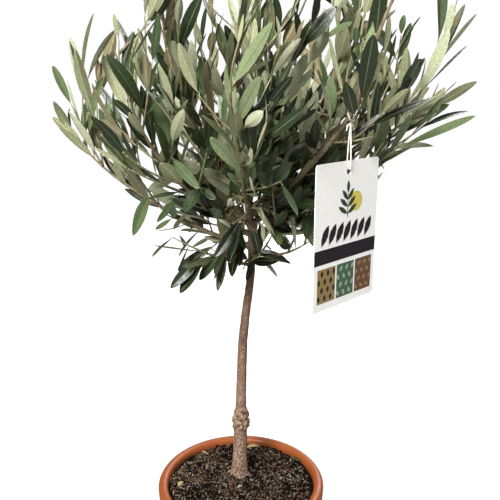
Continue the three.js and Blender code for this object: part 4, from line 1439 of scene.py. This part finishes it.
def make_card():
    half, top = CARD_WIDTH / 2, CARD_HOLE_DROP
    low = top - CARD_HEIGHT
    outline = []
    for x, z, start in (
        (half - CARD_CORNER, top - CARD_CORNER, 0), (-half + CARD_CORNER, top - CARD_CORNER, 90),
        (-half + CARD_CORNER, low + CARD_CORNER, 180), (half - CARD_CORNER, low + CARD_CORNER, 270),
    ):
        for a in np.radians(np.linspace(start, start + 90, 7)):
            outline.append((x + CARD_CORNER * math.cos(a), z + CARD_CORNER * math.sin(a)))
    hole = [
        (CARD_HOLE_RADIUS * math.cos(a), CARD_HOLE_RADIUS * math.sin(a))
        for a in np.linspace(0, 2 * np.pi, len(outline), endpoint=False)
    ]
    count = len(outline)
    start = min(range(count), key=lambda k: math.dist(hole[k], outline[0]))
    hole = hole[start:] + hole[:start]
    points, faces = [], []
    for front in (CARD_THICKNESS / 2, -CARD_THICKNESS / 2):
        points += [card_place(x, z, front) for x, z in outline + hole]
    for k in range(count):
        n = (k + 1) % count
        back = 2 * count
        faces.append((k, n, count + n, count + k))
        faces.append((back + k, back + count + k, back + count + n, back + n))
        faces.append((k, back + k, back + n, n))
        faces.append((count + k, count + n, back + count + n, back + count + k))
    pile = Pile()
    pile.add(points, faces, 0)
    return pile.piece("card_board", [card_look("card_board", (250, 249, 245))], smooth=False)


def make_print():
    """The card's plain fields, ovals, blades and sprig, as a thin film on its front."""
    pile = Pile()

    def field(corners, look, over=0.0):
        front = CARD_THICKNESS / 2 + over
        count = len(corners)
        points = [card_place(x, z, front + lift) for lift in (0.01, 0.06) for x, z in corners]
        faces = [tuple(range(count))[::-1], tuple(range(count, 2 * count))]
        faces += [(k, (k + 1) % count, count + (k + 1) % count, count + k) for k in range(count)]
        pile.add(points, faces, look)

    def block(left, right, low, high, look):
        field([(left, low), (right, low), (right, high), (left, high)], look)

    def oval(x, z, long, wide, turn, look):
        c, s = math.cos(math.radians(turn)), math.sin(math.radians(turn))
        ring = [(long * math.cos(a), wide * math.sin(a)) for a in 2 * np.pi * np.arange(12) / 12]
        field([(x + u * c - v * s, z + u * s + v * c) for u, v in ring], look, 0.06)

    half = CARD_WIDTH / 2
    low = CARD_HOLE_DROP - CARD_HEIGHT
    block(-half + 0.2, half - 0.2, low + 42, low + 55, 0)
    third = (CARD_WIDTH - 14) / 3
    for i, look in enumerate((1, 2, 3)):
        left = -half + 5 + i * (third + 2)
        block(left, left + third, low + 7, low + 38, look)
        for row in range(4):
            for column in range(3):
                x = left + third * (column + (0.75 if row % 2 else 0.25)) / 3
                z = low + 11.4 + 7.4 * row
                oval(x, z, 2.7, 1.7, (90 - 30 * i) * (1 if row % 2 else -1), (0, 5, 1)[i])

    def blade(x, z, turn, reach, wide, look):
        along = np.array([math.cos(math.radians(turn)), math.sin(math.radians(turn))])
        across = np.array([-along[1], along[0]])
        shape = ((0, 0), (0.3, -0.8), (0.55, -1), (0.8, -0.65), (1, 0), (0.8, 0.65), (0.55, 1), (0.3, 0.8))
        corners = [np.array([x, z]) + along * reach * share + across * wide * side for share, side in shape]
        field([tuple(corner) for corner in corners], look, 0.12)

    oval(12, low + 92, 9, 9, 0, 6)
    for rank, turn in enumerate((150, 30, 142, 38, 130, 50, 90)):
        blade(0, low + 82 + 6 * (rank // 2), turn, 15 - 1.2 * (rank // 2), 2.2, 4)
    field([(-0.4, low + 79), (0.4, low + 79), (0.4, low + 100), (-0.4, low + 100)], 4, 0.12)
    for i in range(7):
        blade(-35 + 10.2 * i, low + 58, 62, 20, 3.9, 0)
    looks = [
        card_look("print_dark", (34, 30, 34)), card_look("print_ochre", (146, 122, 76)),
        card_look("print_green", (72, 98, 80)), card_look("print_brown", (104, 74, 56)),
        card_look("print_leaf", (50, 66, 44)), card_look("print_pale", (150, 168, 140)),
        card_look("print_yellow", (212, 196, 98)),
    ]
    return pile.piece("card_print", looks, smooth=False)


def make_string():
    """Two strands through the card's hole, a knot, and a loop over the bough."""
    pile = Pile()
    knot = string_top - UP * STRING_KNOT_DROP
    hang = STRING_LENGTH - STRING_KNOT_DROP
    half = [(1, 0.35), (1.6, 1.2), (1.9, 4), (1.7, hang * 0.35), (1, hang * 0.7)]
    lower = [(0, 0.15), *half, (0, hang), *[(-side, up) for side, up in reversed(half)]]
    closed = [card_hole + card_facing * side + UP * up for side, up in lower]
    line = smooth_line([closed[-1], *closed, closed[0], closed[1]], 6)[6:-12]
    pile.add(*tube(line, [STRAND_RADIUS] * len(line), 8, True), 0)
    over = bough_radius(CARD_PLACE) + SEAT_GAP + STRING_RADIUS + 0.3
    upper = []
    for angle in 2 * np.pi * np.arange(28) / 28:
        point = string_top + string_over * over * math.cos(angle) + string_across * over * math.sin(angle)
        upper.append(point + (knot - point) * max(0, -math.cos(angle)) ** 2)
    pile.add(*tube(np.array(upper), [STRAND_RADIUS] * len(upper), 8, True), 0)
    wraps = []
    for i in range(KNOT_POINTS):
        angle = 2 * math.pi * i / KNOT_POINTS_ROUND
        out = 1.15 + 0.15 * math.sin(i)
        round_it = card_facing * out * math.cos(angle) + card_wide * out * math.sin(angle)
        wraps.append(knot + round_it + UP * (i / KNOT_POINTS - 0.5) * 2.4)
    pile.add(*tube(np.array(wraps), [STRAND_RADIUS] * len(wraps), 7), 0)
    for side in (-1, 1):
        tail = [knot + card_wide * side * s + UP * u for s, u in STRING_TAIL]
        line = smooth_line(tail, 5)
        pile.add(*tube(line, [STRAND_RADIUS * 0.9] * len(line), 7), 0)
    return pile.piece("string_strands", [string_look()])


card = make_card()
card_print = make_print()
string = make_string()
for piece, node, slot in (
    (card, "card", "card"), (card_print, "card", "card"), (string, "card_string", "string"),
):
    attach(piece, "root")
    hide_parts(node)

# Camera, floor and light

scene = bpy.context.scene
scene.view_settings.view_transform = "Standard"

PITCH = 15.0
SENSOR = 36
PICTURE = 500  # the picture's width in pixels
FOCAL = 650  # the lens in the same pixels
AIM = (0, 0, 0.45)
camera_data = bpy.data.cameras.new("camera")
camera_data.sensor_width = SENSOR
camera_data.lens = SENSOR * FOCAL / PICTURE
camera_data.clip_start = 0.01
camera = placed(bpy.data.objects.new("camera", camera_data))
camera.location = (0.0104, -0.66, 0.615)
camera.rotation_euler = (math.radians(90 - PITCH), 0, 0)
scene.camera = camera

FLOOR = 40  # half its side, in metres
# The floor is lifted to white away from the pot, where the light falls off.
floor_look = Look("floor", 0.9, Emission_Color=(1, 1, 1, 1))
floor_place = floor_look.node("ShaderNodeTexCoord").outputs["Object"]
floor_reach = floor_look.node("ShaderNodeVectorMath", {0: floor_place}, operation="LENGTH").outputs["Value"]
lift = floor_look.scaled(floor_reach, 0.1, 0.55, 0.66, 0.97)
seen = floor_look.node("ShaderNodeLightPath").outputs["Is Camera Ray"]
lift = floor_look.node("ShaderNodeMath", {0: lift, 1: seen}, operation="MULTIPLY").outputs[0]
floor_look.tree.links.new(lift, floor_look.shader.inputs["Emission Strength"])
floor_look.colour(floor_look.ramp(floor_look.noise(3, 2.0), (0.3, (150, 150, 149)), (0.7, (155, 155, 154))))
floor_mesh = bpy.data.meshes.new("floor")
corners = [(-FLOOR, -FLOOR, 0), (FLOOR, -FLOOR, 0), (FLOOR, FLOOR, 0), (-FLOOR, FLOOR, 0)]
floor_mesh.from_pydata(corners, [], [(0, 1, 2, 3)])
floor_mesh.materials.append(floor_look.material)
floor = placed(bpy.data.objects.new("floor", floor_mesh))

world = bpy.data.worlds.new("studio")
world.use_nodes = True
nodes, links = world.node_tree.nodes, world.node_tree.links
nodes["Background"].inputs["Color"].default_value = (1, 1, 1, 1)
backdrop = nodes.new("ShaderNodeBackground")
backdrop.inputs["Color"].default_value = (1, 1, 1, 1)
backdrop.inputs["Strength"].default_value = 1.02
nodes["Background"].inputs["Strength"].default_value = 0.08
seen, blend = nodes.new("ShaderNodeLightPath"), nodes.new("ShaderNodeMixShader")
links.new(seen.outputs["Is Camera Ray"], blend.inputs[0])
links.new(nodes["Background"].outputs[0], blend.inputs[1])
links.new(backdrop.outputs[0], blend.inputs[2])
links.new(blend.outputs[0], nodes["World Output"].inputs[0])
scene.world = world


def softbox(name, place, target, size, power):
    data = bpy.data.lights.new(name, "AREA")
    data.shape = "DISK"
    data.size = size
    data.energy = power
    lamp = placed(bpy.data.objects.new(name, data))
    lamp.location = place
    lamp.rotation_euler = (Vector(target) - Vector(place)).to_track_quat("-Z", "Y").to_euler()


softbox("key", (-0.75, -1.6, 1.75), AIM, 0.85, 99)
softbox("fill", (1.7, -1.3, 1.0), AIM, 1.4, 10)
softbox("back", (0.8, 1.7, 1.7), AIM, 1.4, 44)

bpy.context.view_layer.update()
